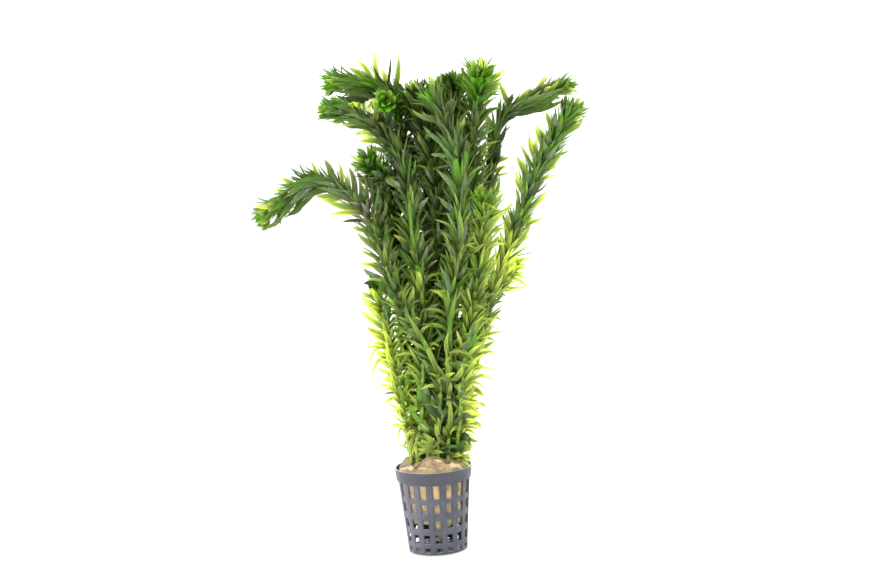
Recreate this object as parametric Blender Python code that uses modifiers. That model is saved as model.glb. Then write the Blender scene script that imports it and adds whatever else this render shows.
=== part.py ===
"""A potted Brazilian waterweed: fifteen leafy stems in a plug of rockwool, in a slotted net pot.

Lengths are metres, written as millimetres times MM. +Z is up. The origin is the centre of the
pot's base, on the surface that it stands on, and the front of the plant faces -Y.
"""

import math
import random

import bmesh
import bpy
import numpy as np
from mathutils import Matrix, Vector

MM = 0.001
GAP = 0.35 * MM

POT_HEIGHT = 55 * MM
POT_BASE_RADIUS = 18.9 * MM
POT_SHOULDER_RADIUS = 23.2 * MM
POT_BAND_RADIUS = 24.1 * MM
POT_LIP_RADIUS = 25.2 * MM
POT_BAND_HEIGHT = 8.2 * MM
POT_FOOT_CHAMFER = 0.7 * MM
POT_SHOULDER_STEP = 0.4 * MM
WALL = 1.2 * MM
COLUMNS = 16
# How far the first column is turned to the right from facing the front.
COLUMN_TURN = math.radians(2.6)
WINDOW_WIDTH = 4.5 * MM
WINDOW_CUT = (5 * MM, 3 * MM)
WINDOW_ROWS = ((37.2, 46.2), (27.9, 33.9), (17.6, 23.2), (7.6, 13.2), (1.9, 4.4))
FLOOR_SLOTS = 8
# From this radius to that radius, and the width.
FLOOR_SLOT = (6 * MM, 14 * MM, 2.6 * MM)

WOOL_EDGE = 54.6 * MM
WOOL_FOOT = 19 * MM
WOOL_TOP_RINGS = (0, 0.22, 0.44, 0.64, 0.82, 0.95)
WOOL_SIDE_RINGS = (WOOL_EDGE - 2 * MM, 44 * MM, 32 * MM, WOOL_FOOT + 2 * MM)
WOOL_FOOT_RINGS = (0.85, 0.5, 0)
# Each lump in mm: its middle's x and y, its spread along x and y, and its height.
WOOL_LUMPS = (
    (0, -8, 12, 9, 6.6),
    (1, 7, 15, 13, 3.6),
    (-17, 8, 6, 6, 4.0),
    (16, 4, 6, 8, 2.4),
    (14, -12, 8, 4, 1.4),
    (-13, -14, 5, 4, 1.2),
)
WOOL_TONGUES = ((2, -16, 4, 4, 8.5), (14, -4, 8, 9, 2), (-10, -12, 9, 9, -5))
PLANTING_TOP = 72 * MM

STEM_RADIUS = 2.3 * MM
STEM_TAPER = 0.35
STEM_END_SHARE = 0.6
ROOT_RADIUS = 1.55 * MM
ROOT_BLEND = 4 * MM
BUD_LENGTH = 6 * MM
# Over these last and first stretches of a stem the leaves shorten to these shares of their length.
BUD_REACH = 20 * MM
BUD_LEAF_SHARE = 0.45
FOOT_REACH = 55 * MM
FOOT_LEAF_SHARE = 0.6
LONG_STEM = 240 * MM
FIRST_WHORL = 17 * MM
WHORL_STEP_LOW = 17.5 * MM
WHORL_STEP_HIGH = 5.6 * MM
WHORL_TURN = math.radians(45)
LEAF_BASE = 2.2 * MM
LEAF_HALF_WIDTH = 1.6 * MM
LEAF_ROOM = 0.35 * MM
SHORTEST_LEAF = 6 * MM
TOP_SIDE_LIFT = 28
LEAN_JITTER = 4
REACH_JITTER = 0.1
# What a leaf tries in turn to keep clear of its neighbours: a share of its length, then degrees
# of more lean and of sway to one side.
LEAF_TRIES = (
    (1, 0, 0), (1, 0, 14), (1, 0, -14), (1, 10, 0), (1, -7, 0), (0.85, 8, 18), (0.85, 8, -18),
    (0.7, 0, 0), (0.7, 16, 24), (0.7, 16, -24), (0.5, 0, 0), (0.5, 20, 20), (0.5, 20, -20),
    (0.36, 10, 0),
)
LEAVES = -1

SLATE_GREY = (0.115, 0.125, 0.165)
WOOL_TAN = (0.52, 0.37, 0.21)
DEEP_GREEN = (0.035, 0.105, 0.02)
FRESH_GREEN = (0.06, 0.22, 0.012)
YELLOW_GREEN = (0.21, 0.36, 0.02)
OLIVE_GREEN = (0.11, 0.15, 0.025)

# Each stem: its colour, its leaves' length in mm, their lean from the stem in degrees low down
# and at the tip, and the route of its centre in mm, from the cut end in the wool to the bud.
STEMS = {
    "stem_far_left": (DEEP_GREEN, 19, 50, 25, (
        (3.5, -6, 48), (3.5, -6, 62), (6, -9, 88), (7, -13, 115), (-1, -17, 139),
        (-12, -19, 159), (-20, -18, 181), (-25, -15, 200), (-32, -13, 219), (-45, -13, 235),
        (-61, -14, 242), (-75, -16, 237), (-85, -19, 231), (-94.5, -23, 225))),
    "stem_top_left_upper": (DEEP_GREEN, 21, 45, 27, (
        (-5, 3, 48), (-5, 3, 62), (-1, 10, 92), (4, 15, 128), (6, 17, 167), (7, 17, 205),
        (7, 15, 238), (4, 13, 267), (-4, 12, 287), (-19, 12, 298), (-36, 14, 302),
        (-47.5, 17, 303))),
    "stem_top_left_lower": (DEEP_GREEN, 20, 45, 27, (
        (-9.5, -3.5, 48), (-9.5, -3.5, 62), (-5, -6, 92), (-2, -9, 131), (0, -11, 164),
        (-3, -12, 193), (-4, -10, 218), (-6, -9, 241), (-12, -9, 259), (-21, -11, 272),
        (-32, -15, 280), (-42, -18, 284.5), (-50.5, -20, 287))),
    "stem_left_rosette": (FRESH_GREEN, 19, 48, 40, (
        (-11, 9.5, 48), (-11, 9.5, 62), (-11, 11, 87), (-11, 11, 123), (-12, 10, 162),
        (-13, 7, 195), (-15, 3, 221), (-21, -6, 239), (-28, -15, 248), (-34, -23, 255))),
    "stem_left_edge": (YELLOW_GREEN, 20, 62, 38, (
        (-14, 2.5, 48), (-14, 2.5, 62), (-16, 2, 79), (-18, 1, 102), (-21, 0, 125),
        (-24, -2, 145), (-27, -5, 160), (-30, -8, 168), (-34, -12, 174))),
    "stem_front_rosette": (FRESH_GREEN, 20, 42, 44, (
        (-3.5, 10.5, 48), (-3.5, 10.5, 62), (-6, 19, 94), (-6, 23, 140), (-4, 23, 192),
        (-4, 19, 232), (-5, 11, 261), (-9, 0, 280), (-13, -12, 288), (-17, -24, 291))),
    "stem_top_back": (DEEP_GREEN, 20, 42, 32, (
        (3, 8.5, 48), (3, 8.5, 62), (7, 19, 93), (12, 26, 145), (16, 31, 204), (18, 34, 249),
        (18, 36, 277), (18, 38, 296))),
    "stem_centre_front": (FRESH_GREEN, 21, 42, 30, (
        (10, -6, 48), (10, -6, 62), (12, -11, 93), (15, -16, 125), (17, -19, 158),
        (23, -21, 186), (27, -21, 214), (28, -20, 239), (25, -19, 261), (19, -18, 280),
        (13, -18, 290))),
    "stem_top_centre": (DEEP_GREEN, 20, 42, 32, (
        (9, 8, 48), (9, 8, 62), (14, 12, 95), (19, 13, 147), (24, 13, 198), (27, 13, 243),
        (28, 13, 277), (27, 12, 299))),
    "stem_top_rosette": (FRESH_GREEN, 21, 42, 46, (
        (6.5, 1, 48), (6.5, 1, 62), (16, 3, 96), (25, 1, 141), (31, -1, 186), (35, -3, 225),
        (37, -5, 256), (40, -9, 281), (43, -14, 298), (44, -19, 307))),
    "stem_right_bent": (DEEP_GREEN, 20, 45, 24, (
        (15.5, 8.5, 48), (15.5, 8.5, 62), (23, 12, 94), (32, 14, 139), (39, 14, 178),
        (44, 13, 210), (47, 13, 239), (51, 13, 260), (59, 14, 275), (71, 17, 282),
        (85, 21, 287), (97, 24.5, 291))),
    "stem_far_right": (DEEP_GREEN, 20, 45, 27, (
        (12.5, 1.5, 48), (12.5, 1.5, 62), (19, -5, 91), (27, -8, 122), (37, -10, 147),
        (46, -12, 171), (55, -13, 191), (62, -14, 208), (69, -15, 225), (76, -17, 241),
        (85, -20, 256), (92, -22, 267), (99.5, -25, 278))),
    "stem_right_rosette": (OLIVE_GREEN, 19, 45, 36, (
        (16.3, -4, 48), (16.3, -4, 62), (20, -14, 96), (25, -18, 131), (32, -20, 163),
        (38, -21, 191), (41, -23, 211), (42, -26, 228))),
    "stem_right_low": (YELLOW_GREEN, 21, 58, 42, (
        (18.8, 2.5, 48), (18.8, 2.5, 62), (23, 3, 82), (28, 3, 108), (34.5, 3, 133),
        (43, 2, 156), (52, 1, 171), (61, -1, 182))),
    "stem_middle": (OLIVE_GREEN, 20, 42, 30, (
        (-3, -5, 48), (-3, -5, 62), (3, -3, 92), (7, 0, 130), (10, 3, 168), (12, 3, 207),
        (12, 0, 239), (9, -4, 268), (6, -7, 283), (3, -10, 294))),
}


def clear_scene():
    for found in list(bpy.data.objects):
        bpy.data.objects.remove(found, do_unlink=True)


def new_collection(name):
    made = bpy.data.collections.new(name)
    bpy.context.scene.collection.children.link(made)
    return made


def plain_material(name, colour, roughness):
    made = bpy.data.materials.new(name)
    made.use_nodes = True
    shader = made.node_tree.nodes["Principled BSDF"]
    shader.inputs["Base Color"].default_value = (*colour, 1)
    shader.inputs["Roughness"].default_value = roughness
    shader.inputs["Metallic"].default_value = 0
    return made


def mesh_object(name, bm, collection, material=None):
    """A new object with the bmesh as its mesh, faces turned outwards."""
    bmesh.ops.recalc_face_normals(bm, faces=bm.faces)
    if bm.calc_volume(signed=True) < 0:
        bmesh.ops.reverse_faces(bm, faces=bm.faces)
    mesh = bpy.data.meshes.new(name)
    bm.to_mesh(mesh)
    bm.free()
    made = bpy.data.objects.new(name, mesh)
    collection.objects.link(made)
    if material:
        mesh.materials.append(material)
    return made


def as_cutter(obj):
    obj.hide_render = True
    obj.display_type = "WIRE"


def cut(obj, cutter):
    modifier = obj.modifiers.new("cut_by_" + cutter.name, "BOOLEAN")
    modifier.operation = "DIFFERENCE"
    modifier.object = cutter
    modifier.solver = "EXACT"


def facet_angle(column):
    """The direction that a pot column faces: the first faces the front, a little turned."""
    return math.radians(-90) + COLUMN_TURN + column * 2 * math.pi / COLUMNS


def add_box(bm, low, high, turn):
    """A box between two corners, turned about Z."""
    size = Vector(high) - Vector(low)
    middle = (Vector(high) + Vector(low)) / 2
    place = Matrix.Rotation(turn, 4, "Z") @ Matrix.Translation(middle) @ Matrix.Diagonal((*size, 1))
    bmesh.ops.create_cube(bm, size=1, matrix=place)


def outer_radius(height):
    """The pot's outside below its band, a plain cone."""
    share = height / (POT_HEIGHT - POT_BAND_HEIGHT)
    return POT_BASE_RADIUS + (POT_SHOULDER_RADIUS - POT_BASE_RADIUS) * share


def pot_profile():
    """(radius, height) from the middle of the floor's top, over the lip, to the middle of the base."""
    shoulder = POT_HEIGHT - POT_BAND_HEIGHT
    return (
        (0, WALL),
        (outer_radius(WALL) - WALL, WALL),
        (POT_SHOULDER_RADIUS - WALL, shoulder),
        (POT_LIP_RADIUS - WALL, POT_HEIGHT),
        (POT_LIP_RADIUS, POT_HEIGHT),
        (POT_BAND_RADIUS, shoulder),
        (POT_SHOULDER_RADIUS, shoulder - POT_SHOULDER_STEP),
        (outer_radius(POT_FOOT_CHAMFER), POT_FOOT_CHAMFER),
        (POT_BASE_RADIUS - POT_FOOT_CHAMFER, 0),
        (0, 0),
    )


def turned_mesh(name, profile, steps, collection, material):
    """A profile turned about Z from an edge between two of the pot's columns."""
    start = facet_angle(0.5)
    points = [(r * math.cos(start), r * math.sin(start), z) for r, z in profile]
    mesh = bpy.data.meshes.new(name)
    mesh.from_pydata(points, [(i, i + 1) for i in range(len(points) - 1)], [])
    mesh.materials.append(material)
    made = bpy.data.objects.new(name, mesh)
    collection.objects.link(made)
    screw = made.modifiers.new("turn", "SCREW")
    screw.steps = steps
    screw.render_steps = steps
    screw.use_merge_vertices = True
    screw.merge_threshold = 0.0001
    screw.use_smooth_shade = False
    return made


def pot_windows(collection):
    """Every window of the wall and slot of the floor, as one cutter."""
    bm = bmesh.new()
    inside = POT_BASE_RADIUS - WINDOW_CUT[0]
    outside = POT_SHOULDER_RADIUS + WINDOW_CUT[1]
    half = WINDOW_WIDTH / 2
    for column in range(COLUMNS):
        for low, high in WINDOW_ROWS:
            add_box(bm, (inside, -half, low * MM), (outside, half, high * MM), facet_angle(column))
    start, end, width = FLOOR_SLOT
    for slot in range(FLOOR_SLOTS):
        turn = facet_angle(slot * COLUMNS / FLOOR_SLOTS)
        add_box(bm, (start, -width / 2, -WALL), (end, width / 2, 2 * WALL), turn)
    cutter = mesh_object("pot_windows", bm, collection)
    as_cutter(cutter)
    return cutter


def net_pot(parts, cutters):
    material = plain_material("net_pot_plastic", SLATE_GREY, 0.42)
    pot = turned_mesh("net_pot", pot_profile(), COLUMNS, parts, material)
    cut(pot, pot_windows(cutters))


def hump(x, y, lumps):
    """The sum of soft round lumps at a point, all in mm: middle x and y, spread x and y, height."""
    total = 0
    for middle_x, middle_y, spread_x, spread_y, height in lumps:
        slip_x = (x - middle_x) / spread_x
        slip_y = (y - middle_y) / spread_y
        total += height * math.exp(-(slip_x**2) - slip_y**2)
    return total


def wool_profile():
    """(radius, height) of the plug before its lumps, from the middle of its top to that of its foot."""
    reach = outer_radius(WOOL_EDGE) - WALL - GAP
    foot = outer_radius(WOOL_FOOT) - WALL - GAP
    return (
        [(reach * share, WOOL_EDGE) for share in WOOL_TOP_RINGS]
        + [(outer_radius(z) - WALL - GAP, z) for z in WOOL_SIDE_RINGS]
        + [(foot * share, WOOL_FOOT) for share in WOOL_FOOT_RINGS]
    )


def rockwool_plug(parts, cutters):
    """The plug, humped at the top, ragged at the foot, with a bore for each stem."""
    bm = bmesh.new()
    start = facet_angle(0.5)
    corners = [
        bm.verts.new((r * math.cos(start), r * math.sin(start), z)) for r, z in wool_profile()
    ]
    edges = [bm.edges.new(pair) for pair in zip(corners, corners[1:])]
    bmesh.ops.spin(
        bm, geom=corners + edges, cent=(0, 0, 0), axis=(0, 0, 1), angle=2 * math.pi,
        steps=COLUMNS, use_merge=True,
    )
    bmesh.ops.remove_doubles(bm, verts=bm.verts, dist=0.01 * MM)
    for vertex in bm.verts:
        x, y = vertex.co.x / MM, vertex.co.y / MM
        if vertex.co.z > WOOL_EDGE - 0.1 * MM:
            vertex.co.z += hump(x, y, WOOL_LUMPS) * MM
        elif vertex.co.z < WOOL_FOOT + 0.1 * MM:
            vertex.co.z -= hump(x, y, WOOL_TONGUES) * MM
    material = plain_material("rockwool", WOOL_TAN, 0.95)
    plug = mesh_object("rockwool_plug", bm, parts, material)
    cut(plug, stem_bores(cutters))


def stem_bores(collection):
    """A six-sided bore round each root, a gap wider and a gap deeper than it."""
    bm = bmesh.new()
    radius = (ROOT_RADIUS + GAP) / math.cos(math.pi / 6)
    for *_, route in STEMS.values():
        foot = Vector(route[0]) * MM - Vector((0, 0, GAP))
        height = PLANTING_TOP - foot.z
        middle = Matrix.Translation(foot + Vector((0, 0, height / 2)))
        bmesh.ops.create_cone(
            bm, cap_ends=True, segments=6, radius1=radius, radius2=radius, depth=height,
            matrix=middle,
        )
    cutter = mesh_object("stem_bores", bm, collection)
    as_cutter(cutter)
    return cutter


def smooth_route(points):
    """A dense centripetal Catmull-Rom curve through the points, and its running length."""
    given = np.array(points, float) * MM
    ends = np.vstack([2 * given[0] - given[1], given, 2 * given[-1] - given[-2]])
    pieces = []
    for p in (ends[i : i + 4] for i in range(len(given) - 1)):
        knots = np.concatenate([[0], np.cumsum(np.linalg.norm(np.diff(p, axis=0), axis=1) ** 0.5)])
        t = np.linspace(knots[1], knots[2], 40, endpoint=False)[:, None]
        level = list(p)
        for spans in (((0, 1), (1, 2), (2, 3)), ((0, 2), (1, 3)), ((1, 2),)):
            level = [
                ((knots[b] - t) * level[i] + (t - knots[a]) * level[i + 1]) / (knots[b] - knots[a])
                for i, (a, b) in enumerate(spans)
            ]
        pieces.append(level[0])
    curve = np.vstack([*pieces, given[-1:]])
    run = np.concatenate([[0], np.cumsum(np.linalg.norm(np.diff(curve, axis=0), axis=1))])
    return curve, run


def at(curve, run, distance):
    """The point at a distance along a curve."""
    return np.array([np.interp(distance, run, curve[:, axis]) for axis in range(3)])


def along(curve, run, distance):
    """The unit direction of a curve at a distance along it."""
    step = at(curve, run, distance + MM) - at(curve, run, distance - MM)
    return step / np.linalg.norm(step)


def whorl_places(length):
    """Distances along a stem of its whorls of leaves, closer together towards the bud."""
    places = []
    place = FIRST_WHORL
    low_step = WHORL_STEP_LOW * math.sqrt(min(1, length / LONG_STEM))
    while place < length - LEAF_BASE:
        places.append(place)
        place += low_step + (WHORL_STEP_HIGH - low_step) * (place / length) ** 2
    return places


def stem_stations(length, whorls):
    """(distance, radius, turn) of each ring of a stem: a short band for each whorl."""
    stations = [(0, ROOT_RADIUS, 0), (FIRST_WHORL - ROOT_BLEND, ROOT_RADIUS, 0)]
    for count, place in enumerate(whorls):
        radius = STEM_RADIUS * (1 - STEM_TAPER * (place / length) ** 6)
        turn = count * WHORL_TURN
        stations.append((place - LEAF_BASE / 2, radius, turn))
        stations.append((place + LEAF_BASE / 2, radius, turn))
    stations.append((length, STEM_END_SHARE * STEM_RADIUS, len(whorls) * WHORL_TURN))
    return stations


def stem_tube(name, curve, run, whorls, collection):
    """The bmesh of a square tube along the route, thin in the wool."""
    data = bpy.data.curves.new(name, "CURVE")
    data.dimensions = "3D"
    data.bevel_depth = 1
    data.bevel_resolution = 0
    data.use_fill_caps = True
    data.twist_mode = "MINIMUM"
    stations = stem_stations(run[-1], whorls)
    spline = data.splines.new("POLY")
    spline.points.add(len(stations) - 1)
    for point, (place, radius, turn) in zip(spline.points, stations):
        point.co = (*at(curve, run, place), 1)
        point.radius = radius
        point.tilt = turn
    guide = bpy.data.objects.new(name + "_guide", data)
    collection.objects.link(guide)
    bpy.context.view_layer.update()
    graph = bpy.context.evaluated_depsgraph_get()
    mesh = bpy.data.meshes.new_from_object(guide.evaluated_get(graph))
    bm = bmesh.new()
    bm.from_mesh(mesh)
    bmesh.ops.remove_doubles(bm, verts=bm.verts, dist=0.01 * MM)
    bpy.data.objects.remove(guide, do_unlink=True)
    bpy.data.meshes.remove(mesh)
    return bm


class Crowd:
    """The space already taken, as balls along every stem and every leaf."""

    def __init__(self):
        self.centres = np.empty((0, 3))
        self.radii = np.empty(0)
        self.owners = np.empty(0, int)

    def add(self, centres, radii, owner):
        self.centres = np.vstack([self.centres, centres])
        self.radii = np.concatenate([self.radii, radii])
        self.owners = np.concatenate([self.owners, np.full(len(radii), owner)])

    def near(self, place, reach, left_out):
        """The balls within reach of a place, but for those of one owner."""
        close = np.linalg.norm(self.centres - place, axis=1) < reach
        close &= self.owners != left_out
        return self.centres[close], self.radii[close]


def leaf_balls(base, tip):
    """Balls along a leaf from its stem to its tip, smaller towards the tip."""
    share = np.linspace(0.1, 1, 10)
    centres = base + (tip - base) * share[:, None]
    return centres, LEAF_HALF_WIDTH * (1 - share) + LEAF_ROOM


def is_free(centres, radii, near):
    apart = np.linalg.norm(centres[:, None] - near[0][None], axis=2)
    return bool((apart > radii[:, None] + near[1][None]).all())


def leaf_tip(base, forward, outward, length, lean, near):
    """The first of several tips that keeps clear of what is near, or None."""
    side = np.cross(forward, outward)
    for share, more_lean, sway in LEAF_TRIES:
        turn = math.radians(sway)
        angle = math.radians(lean + more_lean)
        reach = length * share
        if reach < SHORTEST_LEAF:
            continue
        out = outward * math.cos(turn) + side * math.sin(turn)
        tip = base + reach * (math.cos(angle) * forward + math.sin(angle) * out)
        if is_free(*leaf_balls(base, tip), near):
            return tip
    return None


def band_faces(bm, curve, run, whorls):
    """For each whorl, the faces of its band with their middles."""
    bm.normal_update()
    middles = np.array([at(curve, run, place) for place in whorls])
    found = [[] for _ in whorls]
    for face in bm.faces:
        centre = np.array(face.calc_center_median())
        offsets = np.linalg.norm(middles - centre, axis=1)
        nearest = int(offsets.argmin())
        slip = (centre - middles[nearest]) @ along(curve, run, whorls[nearest])
        if abs(slip) < LEAF_BASE / 4 and offsets[nearest] < STEM_RADIUS:
            found[nearest].append((face, centre))
    return found


def lean_of(share, low_lean, high_lean, forward, outward):
    """A leaf's lean in degrees: less towards the bud, more on top of a stem that lies over."""
    lean = low_lean + (high_lean - low_lean) * share**0.6
    lying = 1 - abs(forward[2])
    return lean + TOP_SIDE_LIFT * lying * max(0, outward[2])


def leaf_reach(length, share, passed, left):
    """A leaf's length: full in the stem's middle, and much shorter over the first stretch above
    the wool, of which some length is passed, and the last before the bud, of which some is left."""
    near_foot = max(0, 1 - passed / FOOT_REACH)
    near_bud = max(0, 1 - left / BUD_REACH)
    full = length * (0.85 + 0.2 * math.sin(math.pi * min(share, 0.75)))
    return full * (1 - (1 - FOOT_LEAF_SHARE) * near_foot) * (1 - (1 - BUD_LEAF_SHARE) * near_bud)


def grow_leaves(bm, index, stem, crowd, draw):
    """Pulls the middle of each band's faces out into a leaf."""
    curve, run, whorls, length, low_lean, high_lean = stem
    for place, faces in zip(whorls, band_faces(bm, curve, run, whorls)):
        forward = along(curve, run, place)
        share = (place - whorls[0]) / (whorls[-1] - whorls[0])
        grown = []
        for face, centre in faces:
            outward = np.array(face.normal)
            lean = lean_of(share, low_lean, high_lean, forward, outward)
            lean += draw.uniform(-LEAN_JITTER, LEAN_JITTER)
            reach = leaf_reach(length, share, place - whorls[0], run[-1] - place)
            reach *= draw.uniform(1 - REACH_JITTER, 1 + REACH_JITTER)
            near = crowd.near(centre, 1.6 * reach, index)
            tip = leaf_tip(centre, forward, outward, reach, lean, near)
            if tip is None:
                continue
            poked = bmesh.ops.poke(bm, faces=[face])
            poked["verts"][0].co = tip
            grown.append(leaf_balls(centre, tip))
        for centres, radii in grown:
            crowd.add(centres, radii, LEAVES)


def close_bud(bm, curve, run):
    """Pulls the middle of a stem's end face out into a point."""
    end = Vector(at(curve, run, run[-1]))
    cap = min(bm.faces, key=lambda face: (face.calc_center_median() - end).length)
    bud = bmesh.ops.poke(bm, faces=[cap])
    bud["verts"][0].co = end + BUD_LENGTH * Vector(along(curve, run, run[-1] - MM))


def leafy_stems(parts):
    crowd = Crowd()
    draw = random.Random(5)
    stems = []
    for index, (colour, leaf, low_lean, high_lean, route) in enumerate(STEMS.values()):
        curve, run = smooth_route(route)
        places = np.arange(0, run[-1], 1.5 * MM)
        centres = np.array([at(curve, run, place) for place in places])
        crowd.add(centres, np.full(len(places), STEM_RADIUS), index)
        stems.append((curve, run, whorl_places(run[-1]), leaf * MM, low_lean, high_lean))
    for index, (name, stem) in enumerate(zip(STEMS, stems)):
        curve, run, whorls, *_ = stem
        bm = stem_tube(name, curve, run, whorls, parts)
        grow_leaves(bm, index, stem, crowd, draw)
        close_bud(bm, curve, run)
        colour = STEMS[name][0]
        mesh_object(name, bm, parts, plain_material(name + "_green", colour, 0.35))


def main():
    clear_scene()
    parts = new_collection("potted_brazilian_waterweed")
    cutters = new_collection("cutters")
    net_pot(parts, cutters)
    rockwool_plug(parts, cutters)
    leafy_stems(parts)


main()
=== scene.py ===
"""The looks of a potted Brazilian waterweed: leafy shoots, rockwool plug and slotted net pot.

Lengths are metres, written as millimetres times MM. The pot, the wool and the shoots' routes are
given in plain mm, as their comments say. +Z is up, the pot stands at the origin, and the front of
the plant faces -Y.
"""

import math
from collections import namedtuple

import bpy
import numpy as np
from mathutils import Matrix


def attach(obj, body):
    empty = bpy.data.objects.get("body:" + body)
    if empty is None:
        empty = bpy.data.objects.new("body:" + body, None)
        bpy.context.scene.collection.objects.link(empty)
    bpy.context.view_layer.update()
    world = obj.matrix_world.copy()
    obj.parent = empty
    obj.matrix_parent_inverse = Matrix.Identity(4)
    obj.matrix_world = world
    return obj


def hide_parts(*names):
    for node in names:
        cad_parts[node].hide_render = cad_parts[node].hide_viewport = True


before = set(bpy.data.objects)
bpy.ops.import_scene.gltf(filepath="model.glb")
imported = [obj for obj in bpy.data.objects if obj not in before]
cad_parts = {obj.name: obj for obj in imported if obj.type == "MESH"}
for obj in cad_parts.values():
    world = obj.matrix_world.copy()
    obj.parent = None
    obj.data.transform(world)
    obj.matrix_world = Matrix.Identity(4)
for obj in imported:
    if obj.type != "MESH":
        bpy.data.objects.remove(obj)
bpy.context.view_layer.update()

MM = 0.001
BODY = "root"

# The pot in mm: a cone from its foot up to the shoulder under its band, and its wall.
POT_FOOT_RADIUS = 18.9
POT_SHOULDER_RADIUS = 23.2
POT_SHOULDER = 46.8
POT_WALL = 1.2
# Its columns of windows and the degrees that they are turned by, the width of a window, and the
# bottom and top of each row of windows.
COLUMNS = 16
COLUMN_TURN = 2.6
WINDOW_WIDTH = 4.5
WINDOW_ROWS = ((37.2, 46.2), (27.9, 33.9), (17.6, 23.2), (7.6, 13.2), (1.9, 4.4))
# How far the bars between windows lie back from the ribs at a relief of 1, and how much further
# for each 1 of relief above that. The edge of a rib slopes over this many degrees, with a row of
# points partway.
BAR_RECESS = 0.28
BAR_STEP = 0.22
RIB_EDGE = 1.1
RIB_EDGE_PART = 0.5
# The relief of the rows from below a window to above it, and how far the first two lie below its
# bottom and the last above its top.
WINDOW_RELIEFS = (1, 2.2, 2.2, 2.2, 2.0, 1)
SILL_ROWS = (0.55, 0.1)
HEAD_ROW = 0.4
# The radii of the floor's rows, with its slots between the two of FLOOR_SLOT_SPAN.
FLOOR_MIDDLE = (1.2, 4.5)
FLOOR_SLOT_SPAN = (6, 14)
FLOOR_RIM = (15.2, 16.8)
# The rounded edge of the foot: what is added to the foot's outer radius, its height, its inner
# radius and the floor's thickness, and the relief.
FOOT_EDGE = (
    (-0.8, 0, -0.35, 0, 0),
    (-0.25, 0.12, -0.1, 0.06, 0),
    (0, 0.5, 0, 0.25, 0.3),
)
# The band and the lip from below: outer radius and height, inner radius and height.
POT_BAND = (
    (23.2, 46.72, 22.05, 46.7), (23.75, 46.8, 22.1, 46.9), (24.02, 47.0, 22.15, 47.2),
    (24.12, 47.4, 22.25, 47.6), (24.4, 50, 22.8, 50), (24.7, 52.4, 23.4, 52.4),
    (25.0, 54.2, 23.85, 54.2), (25.18, 54.45, 23.95, 54.6), (25.2, 54.75, 24.05, 54.85),
    (25.08, 54.95, 24.25, 54.97), (24.85, 55.0, 24.5, 55.0),
)
# The lowest height of the wall's inside, just above the floor.
FLOOR_CLEAR = POT_WALL + 0.35
# Two sizes count as the same when they differ by less than this, in mm or degrees.
NEAR = 0.1
# The pot's edges are drawn hard from this bend on, in degrees.
POT_SHARP_FROM = 38

# The rockwool plug in mm: the height of its edge and of its foot, how low its tongues may hang,
# and the gap between it and the pot's wall.
WOOL_EDGE = 54.6
WOOL_FOOT = 19
WOOL_LOWEST = 2.4
WOOL_GAP = 0.3
# Its top is flat over this share of its reach and rounded over the rest, by this much in height.
# Next to the axis its rows start at this share. Then the points around it, and how many of the
# rounded rows face outwards.
WOOL_FLAT = 0.93
WOOL_ROUNDED = 0.07
WOOL_ROUND_DROP = 2.2
WOOL_MIDDLE = 0.03
WOOL_AROUND = 144
WOOL_OUTER_ROWS = 4
# Each lump in mm: its middle's x and y, its spread along x and y, and its height.
WOOL_LUMPS = (
    (0, -8, 12, 9, 6.6),
    (1, 7, 15, 13, 3.6),
    (-17, 8, 6, 6, 4.0),
    (16, 4, 6, 8, 2.4),
    (14, -12, 8, 4, 1.4),
    (-13, -14, 5, 4, 1.2),
)
# Each fold in mm: where its line starts and ends, its width and its height, or depth below zero.
# The sunken ones are creases, coloured with painted shade.
WOOL_FOLDS = (
    (1, -12, 12, -15, 0.9, 1.7),
    (12, -15, 21, -12, 0.9, 1.8),
    (2, -8.5, 13, -12, 1.2, -1.4),
    (13, -12, 20, -9, 1.2, -1.4),
    (-22, -5, -14, -15, 0.9, 1.6),
    (-14, -15, -5, -18, 0.9, 1.3),
    (-19, -3, -10, -12, 1.2, -1.2),
    (-8, -8, -11, -16, 1.6, -1.2),
    (8, -14, 13, -9, 2.2, -1.2),
    (-12, 0, -14, -11, 1.3, -1.2),
    (0.3, -13, 0.6, -13, 1.1, -1.8),
)
# The tongues that hang from its foot, given as the lumps are, with a depth for the height. Below
# zero it is a hollow. The long ones at the back fill the pot's inside behind its windows, where
# they carry the painted shadow.
WOOL_TONGUES = (
    (2, -16, 4, 4, 10.5),
    (14, -4, 8, 9, 2),
    (-10, -12, 9, 9, -5),
    (0, 18, 24, 4.5, 17),
    (-13.5, 16, 4.5, 2.1, 24),
    (13.5, 16, 4.5, 2.1, 24),
    (-17, 11.5, 2.8, 2.6, 14),
)
# The share of their height that lumps and folds keep at the wool's edge, and the share of the
# radius over which they lose the rest.
WOOL_EDGE_RISE = 0.45
WOOL_EDGE_SPAN = 0.12
# The ripples of its surface as their length in mm and their share, how high they are together,
# and how much of that stays along the pot's wall.
WOOL_RIPPLES = ((7, 0.55), (2.6, 0.3), (1.1, 0.16))
WOOL_ROUGHNESS = 0.5
WOOL_WALL_SHARE = 0.22

# The stem: its radius in the wool and above, how far the first goes and over what length it
# widens, how long it stays bare, and by how much it thins towards the bud. Then the points in a
# ring of it, the step between rings, and how far its end is domed.
ROOT_RADIUS = 1.2 * MM
STEM_RADIUS = 1.5 * MM
ROOT_LENGTH = 6 * MM
ROOT_WIDENS = 8 * MM
BARE_FOOT = 11 * MM
STEM_THINS = 0.3
STEM_AROUND = 10
STEM_STEP = 1.3 * MM
STEM_DOME = 1.2 * MM
# It swells by this share at each whorl, over this length, and is lighter there.
WHORL_SWELLS = 0.1
WHORL_LENGTH = 1.1 * MM
WHORL_LIGHT_LENGTH = 1.0 * MM
STEM_LIGHT = 0.5
WHORL_LIGHT = 0.4

# The step from whorl to whorl at the foot and at the bud, and how it falls between them.
LOW_STEP = 6.0 * MM
TIP_STEP = 2.2 * MM
STEP_POWER = 0.8
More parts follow.
